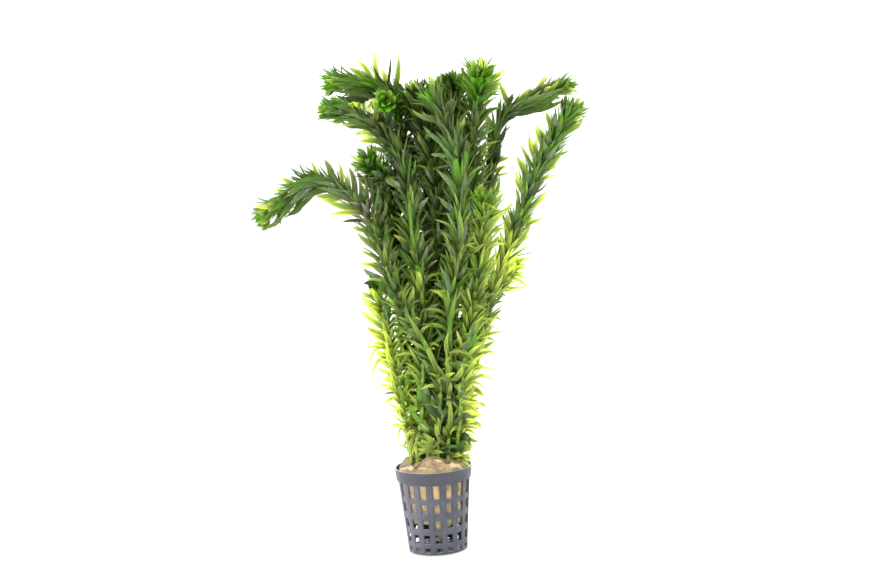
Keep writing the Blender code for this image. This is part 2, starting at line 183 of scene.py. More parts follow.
# Leaves are lost up to this share of the stem. At the front up to this share more of them are
# left out, and at the back this share of the lost ones is kept.
LOST_UP_TO = 0.55
FRONT_LOST = 0.6
BACK_KEPT = 0.7
# A leaf's face turns to the front by this much, against 1 for away from the stem.
FRONT_TURN = 0.8
# Each whorl is turned against the one below, and each leaf in it is off by a scatter in radians
# and in mm along the stem.
WHORL_TURN = math.radians(39)
TURN_SCATTER = 0.25
PLACE_SCATTER = 0.8
# How deep in the stem leaves are rooted, as a share of its radius.
ROOTED_AT = 0.55

# A blade: half its width, its thickness, how much of that is gone at its tip, how far its margins
# bend away, and the shares of its length at which its rings of points stand.
LEAF_HALF_WIDTH = 1.1 * MM
LEAF_THICKNESS = 0.3 * MM
LEAF_THINS = 0.6
LEAF_KEEL = 0.25
LEAF_STATIONS = np.array([0, 0.06, 0.16, 0.32, 0.5, 0.66, 0.8, 0.92])
# Its outline: how wide its base is, between which shares of its length it has its full width, and
# the power by which it narrows to its tip.
BASE_WIDTH = 0.6
FULL_FROM = 0.2
FULL_TO = 0.3
TIP_POWER = 2.3

# The shares of a stem at which a look gives the leaves' lean and how many stand free.
LOOK_PARTS = (0, 0.45, 0.8)
# Lean and bend of the leaves in whorls, in degrees, with their scatter. A free leaf leans out
# further and bends more, but less so the higher it stands. In the bud leaves spread, then close.
LEAN_SCATTER = 6
LEAST_LEAN = 4
FREE_LEAN = 12
BUD_SPREAD = 20
BEND = 10
BEND_SCATTER = 10
FREE_BEND = 52
FREE_BEND_FALLS = 22
BUD_CLOSES = 20
# How far leaves sway aside and droop, as shares of half their length. The free ones droop less
# the higher they stand, and all of them droop at the foot.
SWAY = 0.16
FREE_SWAY = 0.4
FREE_DROOP = 0.6
LOW_DROOP = 1.3
FOOT_DROOP = 0.6
# The ranges of their length and width, and the scatter of their twist in radians. They are widest
# at the foot and narrow up to this share of the stem, by this power. In the bud they are wider
# and shorter.
LENGTH_RANGE = (0.8, 1.08)
WIDTH_RANGE = (0.75, 1.2)
TWIST_SCATTER = 0.5
LOW_UP_TO = 0.6
LOW_POWER = 0.7
LOW_WIDTH = 1.35
WIDTH_FALLS = 0.4
BUD_LENGTH = 9 * MM
BUD_WIDTH = 0.35
BUD_SHORTER = 0.6
# Over this much of the foot of a stem the leaves shorten to this share, and over its lowest part
# they lean out further, by this many degrees.
FOOT_REACH = 55 * MM
FOOT_LEAF_SHARE = 0.6
FOOT_LENGTH = 12 * MM
FOOT_LEAN = 15

# How near another shoot crowds a leaf, and how many of them hem it in.
CROWD_REACH = 9 * MM
CROWD_FULL = 3
# What crowding does to a leaf's tones: it takes yellow, adds brown, and past this share paints
# shade on it, darkening it.
CROWD_UNYELLOWS = 0.7
CROWD_BROWN = 0.6
CROWD_PAINTED_SHADE = 1.7
CROWD_FREE = 0.2
# Leaves freshen from this share of the stem on, and in the bud, which is lighter too.
FRESH_FROM = 0.84
FRESH_OVER = 0.14
BUD_FRESH = 0.3
BUD_LIGHT = 0.35
# Yellow fades up the stem by this power. Some leaves have aged, more of the free ones, and are
# yellower, but less so the higher they stand.
YELLOW_POWER = 1.5
AGED = 0.15
AGED_FREE = 0.3
AGED_YELLOW = 0.5
AGED_FALLS = 0.6
# The mean and the scatter of what is added to the tones of each leaf, and the range for its light.
FRESH_SCATTER = (0.22, 0.25)
YELLOW_SCATTER = (-0.05, 0.1)
BROWN_SCATTER = (-0.15, 0.14)
GLINT_SCATTER = (-0.35, 0.4)
LIGHT_RANGE = (0.05, 1.2)

# The photograph's pixels, and the camera that sees the plant as it does: its place, how far it
# looks down and how far it leans over, its focal length and its film's width in mm.
PICTURE_WIDTH = 880
PICTURE_HEIGHT = 588
CAMERA_PLACE = np.array([0.0110, -1.2484, 0.3323])
CAMERA_PITCH = math.radians(7.6)
CAMERA_ROLL = math.radians(3.452)
CAMERA_LENS = 80.87
CAMERA_FILM = 36
PICTURE_SCALE = CAMERA_LENS / CAMERA_FILM * PICTURE_WIDTH

# The leaves that stand out: what a pixel spans on the plant, how near a stem has to be seen to a
# leaf for the leaf to lie in front of it, in pixels, by how much it does, and how far forward
# leaves reach.
PIXEL = 0.647 * MM
STEM_IN_WAY = 9
LEAF_CLEAR = 4.5 * MM
FRONT_LIMIT = -40.5 * MM
# A leaf's middle lies this far in front of its root, and its tip this much further.
MIDDLE_AHEAD = 2 * MM
TIP_AHEAD = 1 * MM
# A tip goes past the seen one by this share of the step from the middle, half a blade's width is
# this share of the seen width, it is no less than this share of LEAF_HALF_WIDTH, and a blade on
# its edge still shows this share of it. Then the scatter of its turn and its twist, in radians,
# and of its light.
TIP_PAST = 0.14
SEEN_HALF = 0.56
LEAST_WIDTH = 0.9
LEAST_SEEN = 0.12
SEEN_TURN_SCATTER = 0.08
SEEN_TWIST_SCATTER = 0.25
SEEN_LIGHT_SCATTER = 0.1

# Colours of leaves and stems, for the group they share, and of what lies over a leaf.
LEAF_COLOURS = {
    "Deep": (0.045, 0.09, 0.012, 1),
    "Fresh": (0.09, 0.27, 0.006, 1),
    "Yellow": (0.72, 0.78, 0.19, 1),
    "Brown": (0.13, 0.1, 0.05, 1),
}
STEM_COLOURS = {
    "Deep": (0.1, 0.25, 0.02, 1),
    "Fresh": (0.14, 0.38, 0.02, 1),
    "Yellow": (0.3, 0.44, 0.05, 1),
    "Brown": (0.12, 0.10, 0.05, 1),
}
MIDRIB_GREEN = (0.16, 0.3, 0.05, 1)
TIP_GREEN = (0.3, 0.42, 0.03, 1)
# Pale grey-green of the painted glints that stand in for the shine of wet leaves.
PAINTED_GLINT_GREY = (0.42, 0.48, 0.4, 1)
# The light that a green and a yellow leaf let through.
GREEN_GLOW = (0.6, 0.82, 0.07, 1)
YELLOW_GLOW = (0.99, 0.98, 0.5, 1)
# Colours of the wool and of the pot.
WOOL_TAN = (0.6, 0.41, 0.2, 1)
WOOL_SHADE = (0.26, 0.2, 0.13, 1)
WOOL_GREY = (0.27, 0.24, 0.2, 1)
WOOL_ALGAE = (0.17, 0.15, 0.08, 1)
# Painted shade: darker lower down inside the pot, and nearly black where the wool hangs low at the
# back, in the pot's shadow.
WOOL_LOW_SHADE = (0.2, 0.17, 0.12, 1)
WOOL_BACK_SHADOW = (0.03, 0.031, 0.03, 1)
WOOL_THREAD = (0.8, 0.63, 0.38, 1)
WOOL_RIDGE = (0.85, 0.67, 0.41, 1)
WOOL_CREASE_SHADE = (0.13, 0.095, 0.06, 1)
POT_DARK = (0.05, 0.054, 0.07, 1)
POT_PALE = (0.085, 0.09, 0.115, 1)
# Painted light on the pot's left side.
POT_LIT_SIDE = (0.19, 0.19, 0.24, 1)
POT_BAND_DARK = (0.04, 0.043, 0.056, 1)
# Painted highlight on the upward faces of the ledges.
POT_LEDGE_HIGHLIGHT = (0.6, 0.61, 0.65, 1)
FLOOR_WHITE = (0.93, 0.93, 0.93, 1)

# The stage: half the floor's width, and how bright the sky is behind the plant and overhead, and
# on the camera's side.
FLOOR_REACH = 6.0
SKY_BACK = 1.75
SKY_FRONT = 0.4
# Each lamp's name, place, width and power, and the point that all of them are aimed at.
LAMPS = (
    ("key", (-0.8, -1.3, 0.75), 0.25, 15),
    ("fill", (1.1, -1.1, 0.5), 0.25, 6),
    ("back", (0.5, 1.4, 0.7), 1.2, 10),
)
LAMP_TARGET = (0, 0, 0.16)

# Tones of the leaves that stand out: shares of fresh green, yellow and brown, of painted glints
# that stand in for wet shine, and how light they are. The lightness paints the light and shade
# that each leaf is seen in: the dark ones, such as D and B, are painted shade in hollows.
TONES = {
    "d": (0.0, 0.0, 0.15, 0.0, 0.43),
    "D": (0.2, 0.0, 0.0, 0.0, 0.24),
    "g": (0.35, 0.0, 0.0, 0.1, 0.62),
    "f": (0.8, 0.1, 0.0, 0.0, 0.7),
    "F": (1.0, 0.0, 0.0, 0.0, 0.77),
    "l": (0.5, 0.5, 0.0, 0.0, 0.7),
    "y": (0.4, 0.8, 0.0, 0.0, 0.77),
    "Y": (0.3, 1.0, 0.0, 0.0, 1),
    "o": (0.0, 0.9, 0.35, 0.0, 0.77),
    "b": (0.1, 0.2, 0.55, 0.0, 0.54),
    "B": (0.0, 0.0, 0.8, 0.0, 0.12),
    "M": (0.0, 0.0, 0.8, 0.5, 0.62),
    "P": (0.0, 0.2, 0.8, 0.6, 0.85),
    "w": (0.2, 0.05, 0.0, 0.6, 0.62),
    "W": (0.2, 0.1, 0.0, 1.0, 0.85),
}
# Patches of painted light and shade on the leaves in whorls, which also turn them with age: the
# middle of the patch and its spread along x and z in mm, and what it adds to fresh, yellow, brown,
# the share of painted glints, and lightness. Added lightness is painted light, taken lightness
# painted shade, and the yellow stands partly for aged leaves and partly for painted glow where
# light shines through the fringe.
PAINTED_LIGHT_AND_AGE_PATCHES = (
    ((-35, 135), (12, 38), (0.1, 1.0, 0.0, 0.0, 0.8)),
    ((54, 180), (10, 16), (0.1, 1.0, 0.0, 0.0, 0.8)),
    ((32, 100), (10, 38), (0.1, 0.8, 0.15, 0.0, 0.7)),
    ((-22, 88), (10, 24), (0.2, 0.8, 0.0, 0.0, 0.6)),
    ((5, 285), (60, 45), (0.0, -0.35, 0.1, 0.0, -0.32)),
    ((-36, 226), (17, 30), (-0.15, -0.3, 0.5, 0.1, -0.14)),
    ((27, 285), (8, 18), (-0.1, 0.0, 0.4, 0.0, -0.1)),
    ((-55, 300), (25, 16), (0.4, 0.15, 0.0, 0.0, 0.1)),
    ((45, 205), (14, 30), (0.1, 0.35, 0.0, 0.0, 0.1)),
    ((3, 75), (22, 16), (0.1, 0.75, 0.1, 0.0, 0.32)),
    ((3, 274), (24, 18), (0.0, 0.0, 0.15, 0.0, -0.22)),
    ((5, 140), (14, 14), (0.0, 0.0, 0.2, 0.1, -0.2)),
    ((5, 105), (55, 60), (0.45, 0.1, -0.2, -0.45, 0.12)),
)

# Each shoot: its slot in the record, its leaves' length in mm, how many stand in a whorl, their
# lean from the stem in degrees at each of LOOK_PARTS, the share of them that stand free there, the
# share that is lost at the foot, its tones, and the route of its centre in mm from the cut end to
# the bud. The tones are fresh green near the bud, yellow low down, brown, the share of painted
# glints, and lightness, which paints the light and shade that the shoot is seen in.
Look = namedtuple("Look", "slot leaf whorl lean free lost tones route")
SHOOTS = {
    "stem_far_left": Look(
        "deep_green", 19, 8, (28, 27, 16), (0.5, 0.25, 0.0), 0.55, (0.35, 0.45, 0.15, 0.1, -0.05), (
        (3.5, -6, 48), (3.5, -6, 62), (6, -9, 88), (7, -13, 115), (-1, -17, 139),
        (-12, -19, 159), (-20, -18, 181), (-25, -15, 200), (-32, -13, 219), (-45, -13, 235),
        (-61, -14, 242), (-75, -16, 237), (-85, -19, 231), (-94.5, -23, 225))),
    "stem_top_left_upper": Look(
        "deep_green", 20, 10, (26, 23, 15), (0.4, 0.35, 0.0), 0.3, (0.25, 0.4, 0.1, 0.0, -0.15), (
        (-5, 3, 48), (-5, 3, 62), (-1, 10, 92), (4, 15, 128), (6, 17, 167), (7, 17, 205),
        (7, 15, 238), (4, 13, 267), (-4, 12, 287), (-19, 12, 298), (-36, 14, 302),
        (-47.5, 17, 303))),
    "stem_top_left_lower": Look(
        "deep_green", 20, 8, (26, 26, 20), (0.4, 0.3, 0.0), 0.45, (0.35, 0.4, 0.1, 0.1, -0.05), (
        (-9.5, -3.5, 48), (-9.5, -3.5, 62), (-5, -6, 92), (-2, -9, 131), (0, -11, 164),
        (-3, -12, 193), (-4, -10, 218), (-6, -9, 241), (-12, -9, 259), (-21, -11, 272),
        (-32, -15, 280), (-42, -18, 284.5), (-50.5, -20, 287))),
    "stem_left_rosette": Look(
        "fresh_green", 18, 10, (26, 35, 32), (0.4, 0.4, 0.2), 0.35, (0.9, 0.5, 0.15, 0.0, -0.1), (
        (-11, 9.5, 48), (-11, 9.5, 62), (-11, 11, 87), (-11, 11, 123), (-12, 10, 162),
        (-13, 7, 195), (-14, 3, 221), (-18, -6, 239), (-24, -15, 248), (-29.5, -23, 254))),
    "stem_left_edge": Look(
        "yellow_green", 16, 7, (34, 38, 24), (0.7, 0.6, 0.1), 0.7, (0.8, 1.0, 0.0, 0.0, 0.2), (
        (-14, 2.5, 48), (-14, 2.5, 62), (-16, 2, 79), (-18, 1, 102), (-21, 0, 125),
        (-24, -2, 145), (-26, -5, 158), (-28, -8, 165), (-31, -11, 170))),
    "stem_front_rosette": Look(
        "fresh_green", 13, 10, (24, 34, 38), (0.4, 0.5, 0.1), 0.1, (1.0, 0.4, 0.1, 0.0, -0.1), (
        (-3.5, 10.5, 48), (-3.5, 10.5, 62), (-6, 19, 94), (-6, 23, 140), (-4, 23, 192),
        (-4, 19, 232), (-5, 11, 261), (-9, 0, 280), (-13, -12, 288), (-17, -24, 291))),
    "stem_top_back": Look(
        "deep_green", 18, 11, (24, 28, 22), (0.5, 0.5, 0.15), 0.1, (0.6, 0.4, 0.15, 0.0, -0.15), (
        (3, 8.5, 48), (3, 8.5, 62), (7, 19, 93), (12, 26, 145), (16, 31, 204), (18, 34, 249),
        (18, 36, 277), (18, 38, 296))),
    "stem_centre_front": Look(
        "fresh_green", 22, 8, (26, 23, 20), (0.45, 0.3, 0.15), 0.5, (0.45, 0.35, 0.0, 0.25, 0.05), (
        (10, -6, 48), (10, -6, 62), (12, -11, 93), (15, -16, 125), (17, -19, 158),
        (23, -21, 186), (27, -21, 214), (28, -20, 239), (25, -19, 261), (19, -18, 280),
        (13, -18, 290))),
    "stem_top_centre": Look(
        "deep_green", 20, 10, (24, 28, 30), (0.5, 0.45, 0.15), 0.2, (0.6, 0.4, 0.15, 0.0, -0.15), (
        (9, 8, 48), (9, 8, 62), (14, 12, 95), (19, 13, 147), (24, 13, 198), (27, 13, 243),
        (28, 13, 277), (27, 12, 299))),
    "stem_top_rosette": Look(
        "fresh_green", 19, 9, (22, 20, 36), (0.5, 0.35, 0.1), 0.3, (1.0, 0.5, 0.1, 0.05, 0.25), (
        (6.5, 1, 48), (6.5, 1, 62), (16, 3, 96), (25, 1, 141), (31, -1, 186), (35, -3, 225),
        (37, -5, 256), (40, -9, 281), (43, -14, 298), (44, -19, 307))),
    "stem_right_bent": Look(
        "deep_green", 20, 9, (19, 13, 14), (0.2, 0.03, 0.0), 0.2, (0.25, 0.4, 0.25, 0.1, -0.05), (
        (15.5, 8.5, 48), (15.5, 8.5, 62), (23, 12, 94), (32, 14, 139), (39, 14, 178),
        (44, 13, 210), (47, 13, 239), (51, 13, 260), (59, 14, 275), (71, 17, 282),
        (85, 21, 287), (97, 24.5, 291))),
    "stem_far_right": Look(
        "deep_green", 20, 9, (26, 20, 19), (0.3, 0.05, 0), 0.45, (0.35, 0.5, 0.1, 0.2, 0.05), (
        (12.5, 1.5, 48), (12.5, 1.5, 62), (19, -5, 91), (27, -8, 122), (37, -10, 147),
        (46, -12, 171), (55, -13, 191), (62, -14, 208), (69, -15, 225), (76, -17, 241),
        (85, -20, 256), (92, -22, 267), (99.5, -25, 278))),
    "stem_right_rosette": Look(
        "olive_green", 19, 8, (27, 26, 28), (0.4, 0.35, 0.2), 0.4, (0.5, 0.4, 0.1, 0.05, -0.05), (
        (16.3, -4, 48), (16.3, -4, 62), (20, -14, 96), (25, -18, 131), (32, -20, 163),
        (38, -21, 191), (41, -23, 211), (42, -26, 228))),
    "stem_right_low": Look(
        "yellow_green", 13, 8, (28, 30, 26), (0.3, 0.3, 0.1), 0.45, (0.8, 1.0, 0.0, 0.0, 0.2), (
        (18.8, 2.5, 48), (18.8, 2.5, 62), (22, 3, 82), (26, 3, 108), (32, 3, 133),
        (40.5, 2, 156), (50.5, 1, 171), (61, -1, 182))),
    "stem_middle": Look(
        "olive_green", 22, 9, (27, 26, 24), (0.45, 0.35, 0.2), 0.4, (0.4, 0.35, 0.2, 0.05, -0.15), (
        (-3, -5, 48), (-3, -5, 62), (3, -3, 92), (7, 0, 130), (10, 3, 168), (12, 3, 207),
        (12, 0, 239), (9, -4, 268), (6, -7, 283), (3, -10, 294))),
}


# Leaves that stand out, read off the photograph, shoot by shoot: the pixels across and down
# of a leaf's root, middle and tip, its seen width in pixels, and its tone.
SEEN_LEAVES = {
    "stem_far_left": (
        (290, 192, 282, 191, 274, 190.5, 3.5, "y"), (298, 184, 290, 182.5, 282, 178.5, 5, "l"),
        (309, 177.5, 299, 175, 290.5, 167.5, 1.8, "d"),
        (308, 176.5, 302.5, 171, 299.5, 164, 1.5, "d"),
        (323, 175, 315, 169.5, 311.5, 161.5, 3.2, "l"), (336, 182, 330.5, 171, 325, 161, 6, "b"),
        (346, 184, 341.5, 173, 339, 164, 4, "o"), (352, 190, 348.5, 181, 346.5, 174, 3.5, "l"),
        (361, 196, 354, 181, 349, 169, 5, "b"), (279, 207, 267, 207, 254.5, 206.5, 4, "y"),
        (289, 196, 279, 198.5, 269.5, 199.5, 5, "g"), (279, 206, 273, 204, 267, 203.5, 3, "l"),
        (272, 214, 263, 213, 257, 211, 5, "l"), (270, 218, 262, 218, 254.5, 218, 6, "f"),
        (270, 221, 262, 223, 256.5, 225.5, 5, "f"), (272, 222, 266, 226, 261.5, 229, 6, "f"),
        (274, 216, 265, 221, 259, 222, 5, "l"), (291, 212, 278, 221, 264, 227.5, 5, "w"),
        (282, 218, 280, 222, 278.5, 224, 1.2, "d"), (320, 194, 302, 205, 285, 217, 4.5, "w"),
        (312, 199, 300, 208, 290, 214, 4, "d"), (337, 194, 327, 197, 317, 196, 3.5, "l"),
        (354, 212, 341, 206, 327, 200.5, 6, "l"), (359, 217, 345, 212.5, 331, 214.5, 4.6, "y"),
        (363, 224, 352, 220.5, 343.5, 222, 3, "d"), (367, 234, 360, 229.5, 353, 226.5, 4, "l"),
        (376, 252, 367, 242, 358, 233.5, 5, "l"), (380, 263, 370, 255, 361, 250.5, 3, "l"),
        (376, 267, 368, 264.5, 361, 263, 4.5, "Y"), (383, 286, 372, 275, 364.5, 269, 5, "w"),
        (387, 277, 380, 268, 374, 262, 2.5, "w"), (345, 186, 315, 179, 290, 188, 7, "g"),
        (330, 186, 306, 184, 287, 195, 6, "g"), (318, 187, 302, 194, 289, 206, 7, "w"),
        (340, 193, 322, 190, 303, 201, 6, "d"), (345, 188, 330, 184, 312, 182, 4, "w"),
        (350, 200, 335, 191, 318, 188, 5, "w"), (300, 200, 288, 208, 279, 219, 6, "g"),
        (296, 196, 280, 204, 268, 212, 6, "g"), (410, 305, 411.5, 296, 413, 287, 4, "l"),
        (407, 302, 398, 286, 391, 268, 5, "b"), (419, 336, 413, 331, 408, 330, 4, "w"),
        (438, 452, 428, 446.5, 417, 442, 6, "l"), (441, 448, 432, 441, 425, 434, 5, "l"),
        (441, 450, 428, 449.5, 418, 456, 5, "l"), (441, 378, 432, 358, 421, 335, 4.5, "l"),
        (370, 208, 367.5, 203.5, 365, 200, 2, "W"), (349, 187, 346, 181, 343.5, 175, 2.4, "W"),
        (358, 190, 356, 184, 353, 177, 1.6, "W"), (382, 238, 384, 243, 386.5, 247.5, 4, "w"),
        (385, 269, 385.5, 257, 384, 245, 4, "l"), (375, 242, 368.5, 227, 364, 212, 4, "M"),
        (372, 219, 366.5, 210, 361, 203, 5.5, "M"), (364, 207, 356, 203.5, 349, 203, 2.6, "W"),
        (357, 200, 349, 193, 342, 191, 3, "w"), (412, 330, 408, 318, 406, 306, 5, "g"),
        (420, 332, 415, 320, 412, 308, 5, "g"), (404, 322, 399, 310, 394, 298, 6, "g"),
        (400, 304, 392, 294, 385, 284, 6, "g"),
        (345, 199, 332, 196.5, 318, 195.5, 6, "l"), (341, 203, 331, 200, 322, 199.5, 5, "y"),
        (306, 204, 298, 207, 290, 212, 6, "g"), (313, 199, 303, 202, 294, 207, 6, "g"),
        (378, 207, 372, 196, 370, 182, 3.2, "d"), (374, 203, 367, 192, 364, 177, 3.2, "b"),
        (382, 212, 377, 201, 377, 187, 3.2, "g"), (386, 216, 380, 207, 379, 195, 3.2, "D"),
        (390, 222, 385, 212, 384, 200, 3.2, "b"),
        (431, 421, 427, 403, 423, 385, 7, "g"), (424, 432, 418, 420, 413, 408, 4.6, "f"),
        (438, 450, 430, 444.5, 421, 440, 4, "l"), (434, 452, 425, 449, 417, 450, 3.5, "l"),
        (441, 452, 431, 448, 420, 446, 4.6, "l"), (440, 447, 431, 441, 423, 434, 5, "f"),
        (438, 455, 428, 450, 420, 451, 3.5, "y"), (440, 455, 446, 452, 452, 454, 4, "D"),
        (441, 457, 448, 453, 455, 455, 4, "d"), (442, 452, 450, 447, 457, 447, 4, "g"),
        (368, 198, 361, 189, 358, 176, 3.5, "b"), (371, 201, 365, 195, 360, 184, 3.2, "g"),
        (436, 372, 428, 352, 420, 334, 4, "F"), (426, 348, 417, 331, 408, 315, 4, "l"),
    ),
    "stem_top_left_upper": (
        (339, 77, 335.5, 71, 333, 66, 2.5, "b"), (343, 77, 341.5, 71, 341, 66, 1.2, "d"),
        (376, 86, 362, 75.5, 349, 68, 6.5, "l"), (375, 80, 366, 69, 358, 62, 5, "y"),
        (381, 82, 375.5, 67, 374, 53, 5, "y"), (389, 86, 385, 78, 382, 70, 5, "y"),
        (391, 84, 390, 71, 391, 58, 2, "d"), (396, 90, 398, 73, 398, 57, 5, "l"),
        (342, 83, 333, 81.5, 325, 80, 4, "y"), (347, 81, 339, 79, 331, 77, 3, "l"),
        (342, 86, 332, 89, 325, 93.5, 4, "f"), (339, 91.5, 332, 93, 326, 96, 2, "d"),
        (378, 85, 355, 81, 335, 80, 6, "g"), (374, 88, 352, 88, 338, 86, 5, "w"),
        (378, 91, 355, 92, 331, 90, 4, "g"), (350, 84, 340, 84, 331, 84.5, 5, "g"),
        (362, 99, 350, 98, 338, 96.5, 3, "l"), (362, 100, 363.5, 106, 366, 112, 4, "l"),
        (397, 98, 387, 90.5, 377, 90, 6, "w"), (399, 101, 396, 93, 393, 87, 4, "w"),
        (404, 93, 401, 88, 399, 84, 4, "g"), (424, 436, 416, 444, 417, 456, 3, "y"),
        (413, 130, 411, 126, 409, 123, 2.4, "w"), (420, 160, 414, 150, 410, 140, 5, "d"),
        (372, 97, 355, 97, 338, 98, 5, "d"), (375, 100, 361, 101, 345, 99, 5, "D"),
        (366, 107, 357, 104, 347, 101, 4.5, "Y"), (369, 103, 361, 101.5, 352, 104.5, 4, "Y"),
        (372, 112, 368.5, 107, 366, 100.5, 4, "y"),
        (374, 99, 356, 99, 337, 95, 5, "d"), (368, 102, 352, 101, 336, 99, 4, "b"),
        (424, 180, 419, 168, 415, 156, 6, "D"), (428, 176, 424, 164, 421, 152, 6, "D"),
    ),
    "stem_top_left_lower": (
        (355, 101, 358, 105, 361, 110, 5, "Y"), (349, 101, 353, 104, 357, 108.5, 4, "Y"),
        (345, 100, 340, 102, 334, 101, 3, "l"), (336, 112, 326, 108.5, 318, 109.5, 5, "l"),
        (337, 115, 329, 115, 320.5, 117, 3, "d"), (340, 107, 331, 103, 323.5, 102, 5, "g"),
        (341, 105, 335, 101, 329, 99, 4, "l"), (347, 119, 340, 122, 333, 122.5, 3, "l"),
        (360, 124, 351, 123.5, 342, 125.5, 4, "l"), (374, 134, 364, 132, 355.5, 134.5, 4, "l"),
        (380, 147, 370, 141.5, 360.5, 141, 4, "y"), (379, 146, 371, 139, 363, 133.5, 4, "Y"),
        (386, 156, 377, 149, 369, 145, 4, "l"), (373, 120, 358, 116, 345, 115, 4, "w"),
        (352, 116, 342, 112, 332, 113, 6, "d"), (358, 112, 345, 108, 334, 106, 6, "g"),
        (368, 117, 356, 113, 344, 109, 5, "d"), (368, 124, 356, 121, 343, 120, 5, "g"),
        (384, 128, 372, 122, 362, 119, 6, "d"), (399, 170, 391, 161, 385, 154, 5, "w"),
        (418, 430, 411.5, 442, 411, 459, 3, "l"), (428, 327, 428, 311, 439, 304.5, 5, "w"),
        (428, 320, 431, 314, 436.5, 310.5, 4, "w"), (418, 313, 421.5, 299, 424, 285, 5, "g"),
        (421, 346, 412, 339.5, 403, 340, 5, "w"), (426, 361, 420, 354, 412, 348.5, 5, "w"),
        (419, 373, 411, 370, 404, 378, 4, "l"), (418, 210, 422, 204, 427.5, 198, 4, "W"),
        (385, 131, 383, 126, 380.5, 122, 2, "W"), (395, 126, 391, 122.5, 387, 120.5, 2, "w"),
        (397, 167, 391, 158.5, 386, 152, 5, "W"), (406, 163, 403.5, 156, 404.5, 148, 2, "w"),
        (418, 176, 413, 170, 407.5, 170.5, 5, "w"), (404, 191, 398, 184, 390, 180, 3.6, "W"),
        (397, 191, 390, 181, 384, 174, 6, "l"), (385, 140, 376, 132, 368, 130, 6, "D"),
        (392, 136, 384, 127, 378, 123, 5, "D"), (394, 152, 392, 140, 390, 128, 5, "D"),
        (400, 158, 398, 146, 394, 134, 5, "D"), (405, 176, 400, 164, 398, 152, 5, "D"),
        (409, 248, 402, 240, 394.5, 235, 4, "o"), (420, 269, 424.5, 257, 427, 247, 4, "w"),
        (423, 263, 428, 250, 433.5, 238, 4, "b"), (412, 230, 408, 214, 406, 200, 5, "d"),
        (416, 263, 412.5, 237, 410, 212, 4.5, "f"), (424, 291, 420.5, 280, 418, 268, 3.4, "Y"),
        (424, 410, 420, 398, 417, 388, 5, "f"),
        (392, 122, 382, 115, 373, 108, 5, "d"), (397, 119, 388, 112, 378, 106, 5, "D"),
        (387, 126, 380, 118, 374, 111, 5, "d"), (401, 126, 392, 118, 384, 112, 5, "D"),
        (380, 140, 369, 133.5, 357, 131, 4, "y"), (384, 147, 373, 140.5, 361, 140.5, 4, "l"),
        (386, 139, 378, 133, 370, 128, 5, "d"), (392, 150, 386, 143, 379, 136, 5, "D"),
        (398, 187, 392, 173, 387, 160, 5, "D"), (404, 181, 398, 168, 392, 156, 5, "d"),
        (402, 166, 396, 156, 389, 147, 5, "D"), (407, 196, 402, 184, 397, 173, 5, "B"),
        (415, 231, 411, 216, 409, 203, 6, "f"), (418, 257, 421, 245, 423, 232, 4, "w"),
        (428, 272, 431, 264, 437, 260.5, 2.5, "b"), (412, 407, 418, 405, 424, 406.5, 2, "w"),
        (422, 436, 415, 446, 412, 455, 3, "y"), (418, 434, 411, 441, 409, 452, 2.6, "y"),
        (418, 447, 412, 444, 408, 452, 3, "l"), (424, 430, 418, 436, 414, 447, 3, "l"),
        (419, 272, 414.5, 250, 412, 228, 3.5, "f"), (424, 300, 419, 285, 416, 266, 3.4, "l"),
        (412, 258, 406, 249, 401, 239, 5, "D"), (424, 207, 420, 197, 417, 187, 5, "d"),
        (386, 125, 378, 115, 371, 106, 6, "D"), (384, 112, 376, 105, 369, 100, 5, "y"),
        (362, 130, 352, 126, 342, 121.5, 5, "g"),
    ),
    "stem_left_rosette": (
        (369, 159, 362.5, 152.5, 357, 149.5, 5, "f"), (371, 159, 369, 152, 366.5, 146, 3.5, "f"),
        (367, 164, 359.5, 160.5, 352.5, 158, 4, "l"), (368, 168, 359.5, 166, 351.5, 163.5, 6, "f"),
        (378, 164, 375, 157, 372, 150.5, 5, "g"), (374, 168, 369, 164, 366, 159, 5, "w"),
        (382, 170, 379, 163, 377, 157, 5, "f"), (372, 172, 365, 170, 358, 169, 5, "g"),
        (384, 180, 377, 174, 371, 171, 5, "w"), (390, 178, 385, 170, 381, 165, 4, "g"),
        (371, 197, 367, 190.5, 361, 184, 3, "W"), (400, 211, 396.5, 200, 391, 190.5, 4, "w"),
        (379, 210, 381, 200, 383.5, 192, 3, "w"), (383, 219, 387, 208, 391, 198, 3.4, "b"),
        (396, 227, 393.5, 220, 391, 214, 4, "l"), (395, 263, 398, 251, 403, 240, 3, "b"),
        (409, 273, 402.5, 265.5, 395, 260, 4, "w"), (388, 236, 382, 222, 378, 210, 5, "b"),
        (396, 240, 391, 226, 388, 214, 5, "b"), (404, 215, 398, 200, 396, 188, 5, "d"),
        (415, 424, 413, 414, 410, 405, 6, "f"), (411, 396, 408, 386, 406, 376, 5, "f"),
        (396, 262, 392, 251, 389, 240, 5, "D"), (398, 286, 393, 274, 390, 262, 5, "d"),
        (400, 302, 396, 291, 394, 279, 5, "D"), (403, 331, 399, 318, 397, 305, 5, "d"),
        (403, 352, 401, 340, 399, 328, 5, "d"), (404, 372, 402, 360, 401, 349, 5, "g"),
        (405, 392, 403, 381, 401, 370, 5, "g"), (407, 412, 404, 401, 402, 390, 5, "f"),
        (392, 216, 384, 205, 378, 192, 5, "d"), (390, 206, 383, 196, 378, 184, 5, "D"),
        (394, 200, 388, 190, 384, 180, 5, "d"), (396, 210, 391, 201, 387, 190, 5, "D"),
        (388, 196, 380, 190, 373, 188, 5, "D"), (393, 226, 388, 216, 384, 206, 5, "B"),
        (395, 252, 391, 242, 388, 230, 5, "D"), (397, 276, 394, 264, 391, 252, 5, "D"),
        (399, 300, 397, 288, 393, 276, 5, "D"), (401, 320, 399, 308, 396, 296, 5, "D"),
        (391, 196, 386, 186, 381, 177, 5, "D"),
